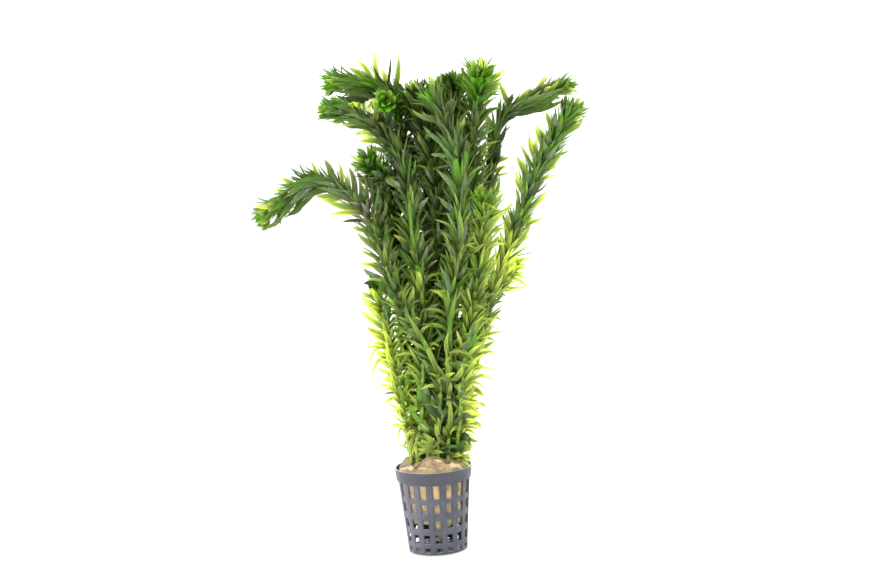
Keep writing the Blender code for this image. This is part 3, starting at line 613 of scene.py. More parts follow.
        (378, 196, 368, 184, 360, 174, 6, "D"), (384, 202, 375, 189, 367, 177, 6, "D"),
        (388, 208, 380, 194, 373, 180, 6, "b"), (386, 222, 379, 208, 373, 196, 7, "D"),
        (392, 226, 386, 212, 380, 198, 7, "D"), (390, 244, 384, 232, 379, 220, 7, "D"),
        (396, 250, 391, 236, 387, 222, 6, "b"), (388, 232, 382, 218, 377, 206, 6, "b"),
        (372, 190, 365, 180, 358, 172, 5, "b"), (392, 214, 388, 200, 386, 188, 6, "D"),
        (384, 190, 380, 178, 378, 168, 6, "D"), (390, 186, 388, 174, 389, 164, 5, "D"),
        (385, 246, 381, 236, 378, 226, 5, "D"), (380, 206, 375, 196, 371, 186, 5, "D"),
        (390, 301, 386, 291, 382, 280, 5, "D"), (387, 240, 379, 231, 372, 224, 4, "g"),
    ),
    "stem_left_edge": (
        (381, 290, 371, 284, 364, 284.5, 7, "D"), (382, 289, 375, 281, 369, 277, 6, "D"),
        (384, 291, 379, 285, 374, 284, 6, "F"), (386, 292, 383, 284, 381, 277, 4, "f"),
        (382, 324, 371, 306.5, 362, 297, 5.4, "Y"), (382, 331, 371, 319.5, 361.5, 311, 5.4, "Y"),
        (378, 300, 375, 294, 370, 289, 5, "y"), (384, 341, 374, 331.5, 366, 327.5, 5, "o"),
        (389, 350, 376, 346.5, 365, 348.5, 3, "Y"), (391, 359, 378, 361, 372, 379, 3.6, "Y"),
        (386, 349, 374, 351, 370.5, 371, 2.8, "Y"), (397, 387, 389, 386.5, 380, 383.5, 4, "Y"),
        (398, 394, 390, 392.5, 384, 395, 1.2, "w"), (401, 399, 389, 399, 381, 407.5, 1.4, "y"),
        (389, 370, 387, 378, 387.5, 385, 1, "d"), (395, 330, 392, 322, 395, 318, 4, "d"),
        (384, 336, 386, 326, 383, 314, 5, "l"), (390, 350, 388, 340, 384, 330, 5, "Y"),
        (392, 372, 390, 360, 386, 350, 5, "Y"), (396, 388, 394, 378, 390, 368, 5, "y"),
        (402, 380, 400, 368, 396, 358, 4, "l"), (404, 364, 402, 352, 398, 342, 4, "y"),
        (382, 316, 384, 305, 380, 294, 5, "g"), (400, 405, 398, 411, 402, 419, 4, "Y"),
        (413, 425, 404, 425.5, 395, 427, 5, "Y"), (401, 423, 399.5, 431, 399, 440, 2.6, "Y"),
        (411, 424, 407.5, 433, 404, 443.5, 4, "Y"), (405, 418, 401, 411, 398, 404, 4, "Y"),
        (386, 362, 381, 355, 377, 352, 4, "Y"), (388, 378, 383, 371, 378, 368, 3, "Y"),
        (387, 333, 385.5, 316, 381, 299, 4.4, "g"), (392, 318, 388, 310, 384, 301, 5, "w"),
        (381, 313, 374, 308, 367, 303, 4, "Y"), (382, 308, 377, 298, 372, 289, 5, "Y"),
        (386, 341, 379, 337, 372, 334, 6, "Y"), (388, 347, 381, 344, 374, 342, 6, "Y"),
        (391, 357, 384, 354, 378, 350, 4, "Y"), (393, 366, 386, 362, 381, 359, 5, "Y"),
        (395, 378, 389, 374, 385, 370, 4, "Y"), (396, 386, 390, 381, 386, 376, 4, "Y"),
        (398, 395, 391, 388, 386, 384, 5, "Y"), (401, 405, 396, 399, 391, 395, 4, "y"),
        (404, 418, 399, 412, 396, 406, 5, "Y"), (383, 322, 376, 315, 369, 309, 5, "Y"),
        (388, 332, 386, 316, 382, 299, 4, "f"), (391, 386, 389, 361, 387, 338, 3.5, "Y"),
        (397, 402, 393, 385, 391, 368, 3.5, "Y"),
    ),
    "stem_front_rosette": (
        (382, 97, 362, 94.5, 346, 96, 4, "d"), (367, 100, 369, 106, 372, 113, 3.5, "Y"),
        (408, 130, 404.5, 126.5, 401, 124, 2.6, "W"),
        (413, 143, 411.5, 139.5, 409, 137.5, 2.4, "W"), (387, 100, 380, 95, 375, 93, 7, "F"),
        (387, 101, 379, 100, 373, 100, 7, "F"), (387, 102, 379, 105, 374, 107, 7, "F"),
        (387, 102, 382, 108, 379, 111, 7, "F"), (387, 102, 388, 108, 387, 112, 7, "F"),
        (388, 101, 392, 106, 393, 109, 7, "F"), (388, 100, 393, 99, 396, 98, 6, "f"),
        (387, 99, 389, 94, 391, 91, 6, "f"), (387, 99, 383, 93, 382, 90, 6, "f"),
        (386, 101, 383, 98, 380, 97, 6, "F"), (386, 101, 384, 104, 382, 106, 6, "F"),
        (386, 101, 388, 103, 389, 105, 6, "F"),
    ),
    "stem_top_back": (
        (447, 92, 444, 82, 440, 73, 4, "d"), (449, 92, 449, 81, 448, 71, 4, "D"),
        (451, 94, 456, 84, 459, 77, 3.5, "d"), (445, 96, 439, 88, 434, 83, 4, "d"),
    ),
    "stem_centre_front": (
        (422, 94, 418, 87, 415, 82, 2.2, "y"), (428, 98, 423, 90, 420.5, 83, 5, "d"),
        (437, 90, 432.5, 83, 430, 77, 4, "y"), (438, 90, 433, 86, 428, 84, 3, "y"),
        (447, 110, 449.5, 104.5, 453, 99, 6, "w"), (445, 133, 441, 124.5, 437, 116, 4, "w"),
        (457, 134, 461, 126.5, 464, 118, 4, "l"), (459, 160, 456.5, 144, 454, 128, 4, "w"),
        (442, 152, 435, 138, 424.5, 127, 4.4, "w"), (434, 127, 424, 117.5, 413, 110, 4, "l"),
        (433, 121, 428, 117, 424, 112, 4, "w"), (470, 165, 466, 152, 466, 140, 6, "b"),
        (447, 351.5, 456.5, 350.5, 466, 354, 2.6, "o"), (454, 361.5, 460, 362, 465, 365, 2, "W"),
        (452, 383, 460, 389.5, 465.5, 398.5, 4, "w"), (446, 290, 441, 286, 435, 283, 4, "w"),
        (455, 300, 449, 288, 445, 277, 5, "w"), (460, 282, 463, 272, 467, 262, 4, "w"),
        (445, 418, 441, 412, 439, 404, 4, "w"), (457, 200, 450, 183, 437, 170.5, 5, "W"),
        (442, 160, 438, 155, 432, 154.5, 3.5, "W"), (446, 167, 439.5, 167.5, 433, 169.5, 2.2, "w"),
        (459, 198, 456.5, 172, 456, 148, 6, "F"), (467, 177, 465.5, 163, 465, 151, 5, "F"),
        (464, 208, 465, 190, 465.5, 172, 5, "w"), (452, 206, 448, 196, 444, 188, 3, "d"),
        (455, 216, 449, 207, 441, 201, 5, "w"), (452, 241, 447, 236, 441, 232, 4, "w"),
        (455, 262, 451, 250, 446, 242, 5, "w"), (463, 264, 461, 236, 459, 211, 6, "l"),
        (469, 229, 472, 218, 474, 209, 4, "y"), (468, 252, 469.5, 240, 470, 228, 4, "l"),
        (452, 292, 447, 280, 441, 268, 5, "w"), (464, 302, 467.5, 290, 470, 278, 3.5, "w"),
        (446, 334, 452, 314, 456.5, 292, 4.5, "f"), (445, 359, 446, 346, 448.5, 333, 4, "l"),
        (452, 442, 450.5, 418, 449.5, 396, 4.5, "l"), (450, 398, 450, 390, 451, 383, 4, "l"),
        (441, 448, 438, 436, 436, 424, 4, "l"), (446, 439, 445, 433, 444, 427, 4, "l"),
        (449, 334, 442, 337, 433, 345, 4.5, "g"), (449, 384, 446, 380, 442, 378, 4, "W"),
        (442, 426, 438, 411, 437, 396, 5, "d"), (466, 262, 474, 251, 484, 244, 4, "l"),
        (461, 256, 460, 239, 458, 221, 4.5, "w"), (467, 252, 465, 236, 466, 220, 4, "w"),
        (458, 385, 459, 375, 462, 365, 5, "l"), (466, 357, 467, 345, 470, 332, 5, "w"),
        (470, 358, 471, 344, 475, 330, 5, "F"),
        (450, 452, 458, 448, 464, 443, 5, "D"), (449, 444, 443, 438, 438, 436, 4, "d"),
        (451, 452, 445, 449, 440, 449, 4, "D"), (450, 458, 456, 455, 462, 456, 4, "y"),
        (449, 404, 444, 413, 441, 424, 3, "g"), (452, 430, 457, 421, 463, 414, 5, "d"),
        (450, 398, 448, 372, 446, 348, 4, "l"), (451, 440, 451, 420, 450, 400, 4, "l"),
        (446, 356, 449, 336, 452, 316, 4, "f"), (441, 450, 439, 438, 438, 424, 4, "l"),
    ),
    "stem_top_centre": (
        (446, 91, 443.5, 82.5, 442, 74.5, 5.5, "l"), (454, 88, 452.5, 79, 452.5, 69.5, 7, "f"),
        (457, 88, 457, 80, 457.5, 73, 3, "l"), (451, 89, 449, 83, 447.5, 79, 5, "g"),
        (462, 92, 461, 84, 461, 77, 4, "g"), (445, 95, 441, 91, 437, 90, 5, "f"),
    ),
    "stem_top_rosette": (
        (468, 84, 465, 74.5, 462.5, 67, 3.6, "b"), (479, 82, 474.5, 69.5, 473.5, 59, 6, "l"),
        (483, 77, 480.5, 66.5, 480.5, 57, 4, "y"), (486, 76, 485.5, 67.5, 485, 60, 3.5, "y"),
        (476, 84, 471, 75, 469, 67, 6, "f"), (481, 81, 479.5, 73, 478.5, 66, 5, "d"),
        (485, 82, 489.5, 74, 493, 68, 5, "w"), (487, 87, 496, 77, 503, 68.5, 4.6, "y"),
        (487, 91, 494, 85.5, 500, 82.5, 6, "y"), (486, 94, 493, 89, 498, 87.5, 5, "l"),
        (484, 96.5, 492, 94.5, 500, 95, 2, "g"), (484, 88, 486, 82, 490, 78, 6, "f"),
        (480, 88, 480, 81, 483, 77, 6, "F"), (476, 90, 474, 82, 471, 77, 6, "F"),
        (490, 90, 488, 84, 491, 81, 5, "F"), (472, 92, 467, 84, 465, 79, 5, "g"),
        (478, 150, 474, 138, 474, 126, 6, "b"), (480, 135, 476, 122, 478, 108, 6, "b"),
        (487, 127, 485, 115, 483, 106, 5, "o"), (483, 140, 485, 132, 489, 124, 3, "w"),
    ),
    "stem_right_bent": (
        (507, 105, 503, 93, 500, 81.5, 3.6, "l"), (507, 104, 506, 96, 503.5, 87, 3.4, "y"),
        (508, 104, 511, 97.5, 515, 95.5, 1.5, "w"), (512, 109, 521, 98.5, 529.5, 88.5, 5, "l"),
        (534, 97, 540, 86, 546.5, 75, 5, "y"), (536, 96, 543, 87.5, 550, 84.5, 4, "b"),
        (540, 94, 546, 89, 551, 87, 3, "Y"), (544, 94, 552.5, 88, 558.5, 80.5, 4, "l"),
        (566, 86, 566, 81, 565.5, 76.5, 1.2, "d"), (561, 93, 565, 87.5, 568.5, 81.5, 5, "f"),
        (562, 92, 569, 89.5, 575, 90, 4.2, "y"), (561, 94, 568, 93, 573, 93.5, 3, "l"),
        (526, 101, 540, 98, 560, 89, 6, "w"), (520, 112, 541, 109, 563, 100, 6, "d"),
        (508, 113, 514, 106.5, 521, 101, 2, "W"), (512, 106, 525, 101, 540, 95, 5, "w"),
        (530, 106, 545, 102, 558, 95, 6, "g"), (497, 165, 502, 159.5, 509, 158, 4, "y"),
        (494, 173, 500, 168.5, 506, 165.5, 4, "o"), (498, 177, 503, 174, 509, 172.5, 1.5, "o"),
        (493, 206, 497, 190, 499, 177, 4, "l"), (492, 206, 498, 199, 503, 193, 4, "y"),
        (489, 128, 488, 118, 487, 112, 4, "o"),
        (512, 118, 524, 113, 540, 110, 5, "d"), (508, 124, 512, 117, 520, 112, 4, "D"),
        (499, 152, 501, 139, 506, 126, 5, "d"), (497, 172, 497, 158, 500, 144, 5, "D"),
    ),
    "stem_far_right": (
        (564, 120, 562.5, 108, 562.5, 98, 4, "B"), (566, 110, 566, 103, 565.5, 95, 4, "B"),
        (571, 112, 572, 104, 573, 96.5, 3.4, "b"), (574, 113, 576, 105, 578.5, 98.5, 3.2, "l"),
        (576, 113, 580, 106.5, 583.5, 101.5, 5, "f"), (573, 119, 578, 114, 583, 110, 3, "l"),
        (571, 123, 577, 118.5, 582.5, 115.5, 3, "y"), (567, 137, 575, 127.5, 582, 120, 4.6, "l"),
        (554, 130, 549.5, 121, 547, 112, 5, "l"), (547, 143, 541.5, 133, 536, 126.5, 4, "y"),
        (546, 143, 543, 137, 540.5, 131, 2, "d"), (533, 166, 534.5, 151, 538, 138, 5, "y"),
        (534, 162, 531, 149, 530, 136, 4, "l"), (531, 170, 526, 155, 521.5, 146, 3, "l"),
        (527, 180, 522, 167, 518, 157, 5, "l"), (523, 190, 519, 180, 516.5, 171.5, 3.4, "l"),
        (525, 197, 519, 186, 515.5, 178.5, 4, "y"), (544, 180, 553.5, 162, 562.5, 148.5, 5.6, "l"),
        (545, 177, 551, 168.5, 556, 165, 3, "y"), (540, 182, 548, 177, 554.5, 175, 3.4, "Y"),
        (534, 197, 541, 190, 547, 182, 1.6, "d"), (532, 214, 539, 201, 545.5, 191.5, 4.5, "y"),
        (524, 229, 534, 221.5, 541.5, 218, 4, "y"), (529, 226, 530, 220, 530.5, 216, 3, "y"),
        (513, 254, 521.5, 239, 530, 225, 5, "l"), (511, 238, 507.5, 225, 506, 214, 3.5, "o"),
        (508, 252, 503.5, 242, 501, 235, 4, "y"), (500, 270, 499, 259, 500, 249, 3, "d"),
        (513, 260, 527, 254, 537.5, 248.5, 1.2, "w"), (556, 148, 549, 140, 546, 130, 5, "w"),
        (552, 160, 546, 150, 544, 141, 5, "w"), (562, 130, 556, 123, 554, 114, 5, "w"),
        (541, 170, 535, 160, 534, 150, 5, "w"), (545, 163, 551, 155, 556, 146, 5, "W"),
        (568, 118, 568, 110, 567, 104, 5, "w"), (536, 190, 529, 180, 527, 170, 6, "w"),
        (528, 205, 524, 195, 523, 184, 6, "g"), (530, 205, 533, 193, 537, 182, 6, "d"),
        (520, 230, 517, 216, 519, 203, 6, "g"), (516, 245, 517, 230, 521, 216, 5, "d"),
        (470, 360, 482, 354, 492, 351, 4.2, "l"), (469, 374, 475, 367, 479, 360, 4, "l"),
        (456, 431, 465, 436, 470, 445, 6, "D"), (472, 350, 471.5, 335, 475, 321, 5, "w"),
        (546, 151, 540.5, 140, 536, 128, 5, "l"), (541, 161, 535, 150, 531, 140, 5, "y"),
        (531, 186, 526, 172, 522.5, 160, 5, "l"),
        (513, 232, 508.5, 222, 505.5, 213, 3.5, "y"), (507, 250, 502.5, 240, 500, 231, 3, "y"),
        (498, 272, 498, 260, 499.5, 247, 2.2, "D"), (527, 192, 521, 184, 517, 173, 4, "Y"),
    ),
    "stem_right_rosette": (
        (468, 382, 478, 376.5, 485, 374, 4, "o"), (462, 404, 473, 408.5, 480, 415.5, 4, "y"),
        (462, 418, 474, 421, 482, 428, 4, "l"), (460, 427, 471, 427, 479, 430, 3, "o"),
        (455, 416, 466.5, 415, 475, 418, 4, "w"), (464, 396, 470, 390, 476, 387, 5, "o"),
        (484, 241, 492.5, 223, 505, 211.5, 6, "y"), (494, 219, 504, 211.5, 511, 203, 4, "y"),
        (484, 252, 491.5, 244, 498.5, 236.5, 4, "l"), (478, 198, 480, 190, 483.5, 183.5, 5, "l"),
        (481, 300, 484, 285, 488, 272, 3.5, "y"), (489, 276, 493, 266, 494.5, 257, 4, "y"),
        (474, 215, 474, 205, 477, 196, 5, "g"), (489, 212, 488, 202, 490, 194, 5, "g"),
        (493, 205, 490, 198, 489, 190, 5, "f"), (474, 225, 470, 212, 470, 202, 5, "w"),
        (484, 205, 482, 197, 484, 191, 6, "f"), (486, 215, 492, 207, 496, 200, 5, "f"),
        (480, 222, 477, 214, 474, 210, 5, "f"),
        (458, 440, 464, 436, 470, 440, 6, "D"), (458, 446, 465, 444, 470, 449, 5, "l"),
        (459, 452, 465, 450, 470, 451, 4, "l"), (460, 417, 468, 413, 477, 413, 5, "Y"),
        (462, 424, 472, 423, 481, 427.5, 5, "o"), (463, 418, 473, 417, 481.5, 414, 4, "y"),
    ),
    "stem_right_low": (
        (511, 263, 522, 259.5, 531, 259, 4, "Y"), (511, 273, 519, 268.5, 526.5, 264, 4, "Y"),
        (508, 277, 520, 281, 527, 286.5, 4, "Y"), (502, 291, 515, 288, 527, 286.5, 3.2, "Y"),
        (507, 279, 511.5, 270.5, 515, 262, 6, "Y"), (506, 276, 507, 268, 509, 261, 4, "o"),
        (501, 292, 506.5, 285, 512.5, 279, 3.2, "o"), (499, 290, 502, 293, 505, 296, 1.6, "d"),
        (498, 285, 503, 278, 505, 271, 5, "l"), (481, 328, 492, 319, 501.5, 314, 2, "y"),
        (481, 333, 485, 329, 489, 325, 1.2, "d"), (481, 338, 493, 333, 503.5, 331.5, 3.6, "y"),
        (479, 352, 487, 345.5, 494, 341, 4, "l"), (477, 346, 482, 340, 489, 337, 4, "y"),
        (472, 368, 479, 366.5, 486, 368.5, 3, "o"), (468, 386, 478, 391, 484, 397, 5, "o"),
        (472, 401, 480, 403, 486, 408, 3, "o"), (468, 411, 474, 408, 479, 409, 1.2, "w"),
        (460, 430, 470, 430.5, 476.5, 435, 3, "y"), (458, 434, 470, 438, 478, 442, 4, "l"),
        (456, 448, 465, 447.5, 474, 444.5, 4, "o"), (454, 459, 463, 456, 471, 454.5, 4, "o"),
        (455, 456, 464, 460, 471, 467, 4, "o"), (466, 402, 472, 397, 480, 394, 4, "y"),
        (480, 350, 482, 338, 483, 327, 4, "y"),
        (461, 450, 467, 448, 473, 447, 4, "y"), (462, 458, 467, 457, 471, 460, 4, "y"),
        (460, 424, 468, 421, 477, 421, 5, "Y"), (461, 410, 470, 405, 480, 404, 5, "Y"),
    ),
    "stem_middle": (
        (414, 95, 408, 88, 405.5, 81, 3, "l"), (417, 96, 412.5, 88, 411.5, 81, 3.5, "y"),
        (431, 334, 437.5, 325.5, 444, 318.5, 5, "P"), (440, 366, 448, 364, 457, 363.5, 4, "g"),
        (440, 379.5, 447, 375.5, 454.5, 373, 3.6, "y"), (436, 436, 428, 430, 421, 424, 5, "y"),
        (436, 412, 433, 404, 432, 396, 5, "w"), (430, 404, 427, 394, 426, 384, 5, "w"),
        (435, 187, 429.5, 176.5, 424, 167, 3, "W"), (438, 213, 434, 202, 430.5, 190, 4.5, "w"),
        (432, 228, 429, 218, 425, 210, 3.5, "w"), (440, 251, 438.5, 236, 438, 221, 5, "w"),
        (425, 150, 421, 141, 419, 133, 4, "l"), (428, 149, 427, 140, 427.5, 132, 3.4, "f"),
        (432, 437, 426, 432, 420, 426, 4, "w"), (432, 380, 428, 370, 425, 360, 4, "w"),
        (441, 217, 438, 213, 434, 212, 4, "w"), (447, 238, 446, 230, 447, 221, 5, "B"),
        (430, 250, 427, 238, 425, 225, 5, "B"), (436, 290, 432, 279, 431, 267, 5, "B"),
        (430, 452, 424, 446, 416, 443, 4.6, "y"), (431, 448, 425, 440, 420, 436, 5, "f"),
        (430, 456, 436, 452, 443, 453, 4, "l"), (432, 440, 427, 430, 424, 420, 6, "g"),
    ),
}


def smooth_route(points):
    """A centripetal Catmull-Rom curve through the points, in metres, and its running length."""
    given = np.array(points, float) * MM
    ends = np.vstack([2 * given[0] - given[1], given, 2 * given[-1] - given[-2]])
    steps_each = 40
    pieces = []
    for p in (ends[i : i + 4] for i in range(len(given) - 1)):
        steps = np.linalg.norm(np.diff(p, axis=0), axis=1) ** 0.5
        knots = np.concatenate([[0], np.cumsum(steps)])
        t = np.linspace(knots[1], knots[2], steps_each, endpoint=False)[:, None]
        level = list(p)
        for spans in (((0, 1), (1, 2), (2, 3)), ((0, 2), (1, 3)), ((1, 2),)):
            level = [
                ((knots[b] - t) * level[i] + (t - knots[a]) * level[i + 1]) / (knots[b] - knots[a])
                for i, (a, b) in enumerate(spans)
            ]
        pieces.append(level[0])
    curve = np.vstack([*pieces, given[-1:]])
    run = np.concatenate([[0], np.cumsum(np.linalg.norm(np.diff(curve, axis=0), axis=1))])
    return curve, run


def unit(vectors):
    return vectors / np.linalg.norm(vectors, axis=-1, keepdims=True)


def camera_axes():
    """The camera's right, up and forward directions: it looks along +Y, pitched down and rolled."""
    level = np.array([1.0, 0, 0])
    rise = np.array([0, math.sin(CAMERA_PITCH), math.cos(CAMERA_PITCH)])
    ahead = np.array([0, math.cos(CAMERA_PITCH), -math.sin(CAMERA_PITCH)])
    right = level * math.cos(CAMERA_ROLL) - rise * math.sin(CAMERA_ROLL)
    up = rise * math.cos(CAMERA_ROLL) + level * math.sin(CAMERA_ROLL)
    return right, up, ahead


def in_picture(points):
    """The pixels, across and down, at which the camera sees points."""
    right, up, ahead = camera_axes()
    seen = points - CAMERA_PLACE
    scale = PICTURE_SCALE / (seen @ ahead)
    across = PICTURE_WIDTH / 2 + scale * (seen @ right)
    return np.stack([across, PICTURE_HEIGHT / 2 - scale * (seen @ up)], -1)


def on_sight_lines(pixels, depth):
    """The points that the camera sees at pixels and whose Y is the depth given for each."""
    right, up, ahead = camera_axes()
    across = pixels[:, 0:1] - PICTURE_WIDTH / 2
    rise = PICTURE_HEIGHT / 2 - pixels[:, 1:2]
    way = ahead * PICTURE_SCALE + across * right + rise * up
    return CAMERA_PLACE + way * ((depth - CAMERA_PLACE[1]) / way[:, 1])[:, None]


def carried_frames(curve):
    """The direction of a curve at each of its points, and a side that is carried along it with
    as little turning as possible: the last side less its part along the new direction."""
    forward = unit(np.gradient(curve, axis=0))
    side = np.array([1.0, 0, 0])
    sides = []
    for direction in forward:
        side = side - (side @ direction) * direction
        side /= np.linalg.norm(side)
        sides.append(side)
    return forward, np.array(sides)


def sampled(values, run, places):
    """Rows of values, given at the running lengths, read off at places between them."""
    return np.stack([np.interp(places, run, column) for column in values.T], axis=-1)


def faded(distance):
    """A soft spot's strength: exp(-distance^2)."""
    return np.exp(-(distance**2))


def ring_quads(rings, around, first=0):
    """The quads between neighbouring rings of a tube, as corner numbers."""
    ring = np.arange(rings - 1)[:, None] * around
    here = np.arange(around)[None]
    after = (here + 1) % around
    corners = np.stack([ring + here, ring + after, ring + around + after, ring + around + here], -1)
    return corners.reshape(-1, 4) + first


def end_fan(first, around, centre, turned=False):
    """The triangles between a ring of corners, numbered from first, and the one at its centre."""
    here = first + np.arange(around)
    after = first + (np.arange(around) + 1) % around
    pair = [after, here] if turned else [here, after]
    return np.stack([*pair, np.full(around, centre)], -1)


def new_piece(name, points, faces, materials, attributes=(), sharp=None):
    """A mesh object from arrays. faces is a list of (corner numbers, material number), attributes
    a list of (name, kind, values at the points), and sharp marks points whose edges stay hard."""
    mesh = bpy.data.meshes.new(name)
    corners = np.concatenate([part.ravel() for part, _ in faces])
    sizes = np.concatenate([np.full(len(part), part.shape[1]) for part, _ in faces])
    slots = np.concatenate([np.full(len(part), number) for part, number in faces])
    mesh.vertices.add(len(points))
    mesh.vertices.foreach_set("co", np.asarray(points, np.float32).ravel())
    mesh.loops.add(len(corners))
    mesh.loops.foreach_set("vertex_index", corners.astype(np.int32))
    mesh.polygons.add(len(sizes))
    starts = np.concatenate([[0], np.cumsum(sizes)[:-1]])
    mesh.polygons.foreach_set("loop_start", starts.astype(np.int32))
    for material in materials:
        mesh.materials.append(material)
    mesh.polygons.foreach_set("material_index", slots.astype(np.int32))
    mesh.polygons.foreach_set("use_smooth", np.ones(len(sizes), bool))
    mesh.update(calc_edges=True)
    for label, kind, values in attributes:
        layer = mesh.attributes.new(label, kind, "POINT")
        field = "color" if kind == "FLOAT_COLOR" else "vector"
        layer.data.foreach_set(field, np.asarray(values, np.float32).ravel())
    if sharp is not None:
        mark_sharp(mesh, sharp)
    made = bpy.data.objects.new(name, mesh)
    bpy.context.scene.collection.objects.link(made)
    return made


def mark_sharp(mesh, sharp):
    """Edges between two marked points are drawn hard."""
    ends = np.empty(len(mesh.edges) * 2, np.int32)
    mesh.edges.foreach_get("vertices", ends)
    both = sharp[ends.reshape(-1, 2)].all(axis=1)
    layer = mesh.attributes.new("sharp_edge", "BOOLEAN", "EDGE")
    layer.data.foreach_set("value", both)


def blades(root, middle, tip, face, width, twist):
    """The points of closed leaf blades, one for each row of the arrays: (leaves, points, 3).

    The midrib is the quadratic Bezier curve from root over the control point middle to tip. The
    blade turns its face, as far as it can, to the given direction, and twists along its length:
    its breadth is the cross product of its chord and that direction, less its share along the
    midrib.
    It is strap-shaped: half its width grows from BASE_WIDTH of the full one by a quarter sine up
    to FULL_FROM of its length, keeps up to FULL_TO, and then falls as 1 - x^TIP_POWER. It thins
    towards its tip, and its margins bend away from the face by the keel's share of the width.
    """
    u = np.append(LEAF_STATIONS, 1.0)[None, :, None]
    root, middle, tip, face = (part[:, None] for part in (root, middle, tip, face))
    midrib = (1 - u) ** 2 * root + 2 * u * (1 - u) * middle + u**2 * tip
    along = unit((1 - u) * (middle - root) + u * (tip - middle) + 1e-9)
    level = unit(np.cross(tip - root, face))
    across = unit(level - (level * along).sum(-1, keepdims=True) * along)
    above = np.cross(across, along)
    turn = twist[:, None, None] * (u - 0.5)
    across, above = (
        across * np.cos(turn) + above * np.sin(turn),
        above * np.cos(turn) - across * np.sin(turn),
    )
    rise = BASE_WIDTH + (1 - BASE_WIDTH) * np.sin(np.minimum(u / FULL_FROM, 1) * math.pi / 2)
    fall = 1 - np.clip((u - FULL_TO) / (1 - FULL_TO), 0, 1) ** TIP_POWER
    wide = width[:, None, None] * rise * fall
    thick = LEAF_THICKNESS * (1 - LEAF_THINS * u)
    margins = midrib - LEAF_KEEL * wide * above
    rings = np.stack(
        [margins - wide * across, midrib + thick / 2 * above, margins + wide * across,
         midrib - thick / 2 * above], axis=2,
    )
    body = rings[:, :-1].reshape(len(wide), -1, 3)
    return np.concatenate([body, midrib[:, -1:]], axis=1)


def blade_faces(leaves, first):
    """Quads along each blade, a fan at its tip and one quad over its base, turned outwards."""
    rings = len(LEAF_STATIONS)
    size = 4 * rings + 1
    starts = first + np.arange(leaves)[:, None, None] * size
    quads = ring_quads(rings, 4)[None] + starts
    fan = end_fan(4 * (rings - 1), 4, 4 * rings)[None] + starts
    base = np.array([[3, 2, 1, 0]])[None] + starts
    return np.concatenate([quads, base], axis=1).reshape(-1, 4), fan.reshape(-1, 3)


def whorl_places(length):
    """Distances along a stem of its whorls. The step between two falls from LOW_STEP to TIP_STEP,
    so the whorls stand where the running sum of 1 / step passes whole numbers."""
    fine_steps = 600
    place = np.linspace(BARE_FOOT, length, fine_steps)
    share = (place - BARE_FOOT) / (length - BARE_FOOT)
    step = LOW_STEP + (TIP_STEP - LOW_STEP) * share**STEP_POWER
    count = np.concatenate([[0], np.cumsum(np.diff(place) / ((step[1:] + step[:-1]) / 2))])
    return np.interp(np.arange(int(count[-1]) + 1), count, place)


def kept_in_whorls(look, curve, run, draw):
    """The leaves that stand in a shoot's whorls: how far along the stem each is, the share of the
    leafy stem below it, the stem's direction there, and the leaf's own way out from the stem.

    Low on a stem leaves are lost, but few at the back. At the front more are left out, fewer
    towards the bud, because those that stand out are placed there one by one.
    """
    forward, sides = carried_frames(curve)
    place = np.repeat(whorl_places(run[-1]), look.whorl)
    number = np.arange(len(place))
    share = (place - BARE_FOOT) / (run[-1] - BARE_FOOT)
    turn = number // look.whorl * WHORL_TURN + number % look.whorl * 2 * math.pi / look.whorl
    turn = turn + draw.normal(0, TURN_SCATTER, len(place))
    ahead = unit(sampled(forward, run, place))
    side = unit(sampled(sides, run, place))
    outward = np.cos(turn)[:, None] * side + np.sin(turn)[:, None] * np.cross(ahead, side)
    lost = look.lost * np.clip(1 - share / LOST_UP_TO, 0, 1)
    lost = lost * (1 - BACK_KEPT * np.clip(outward[:, 1], 0, 1))
    lost = lost + FRONT_LOST * np.clip(-outward[:, 1], 0, 1) * (1 - share)
    kept = draw.random(len(place)) > lost
    return place[kept], share[kept], ahead[kept], outward[kept]


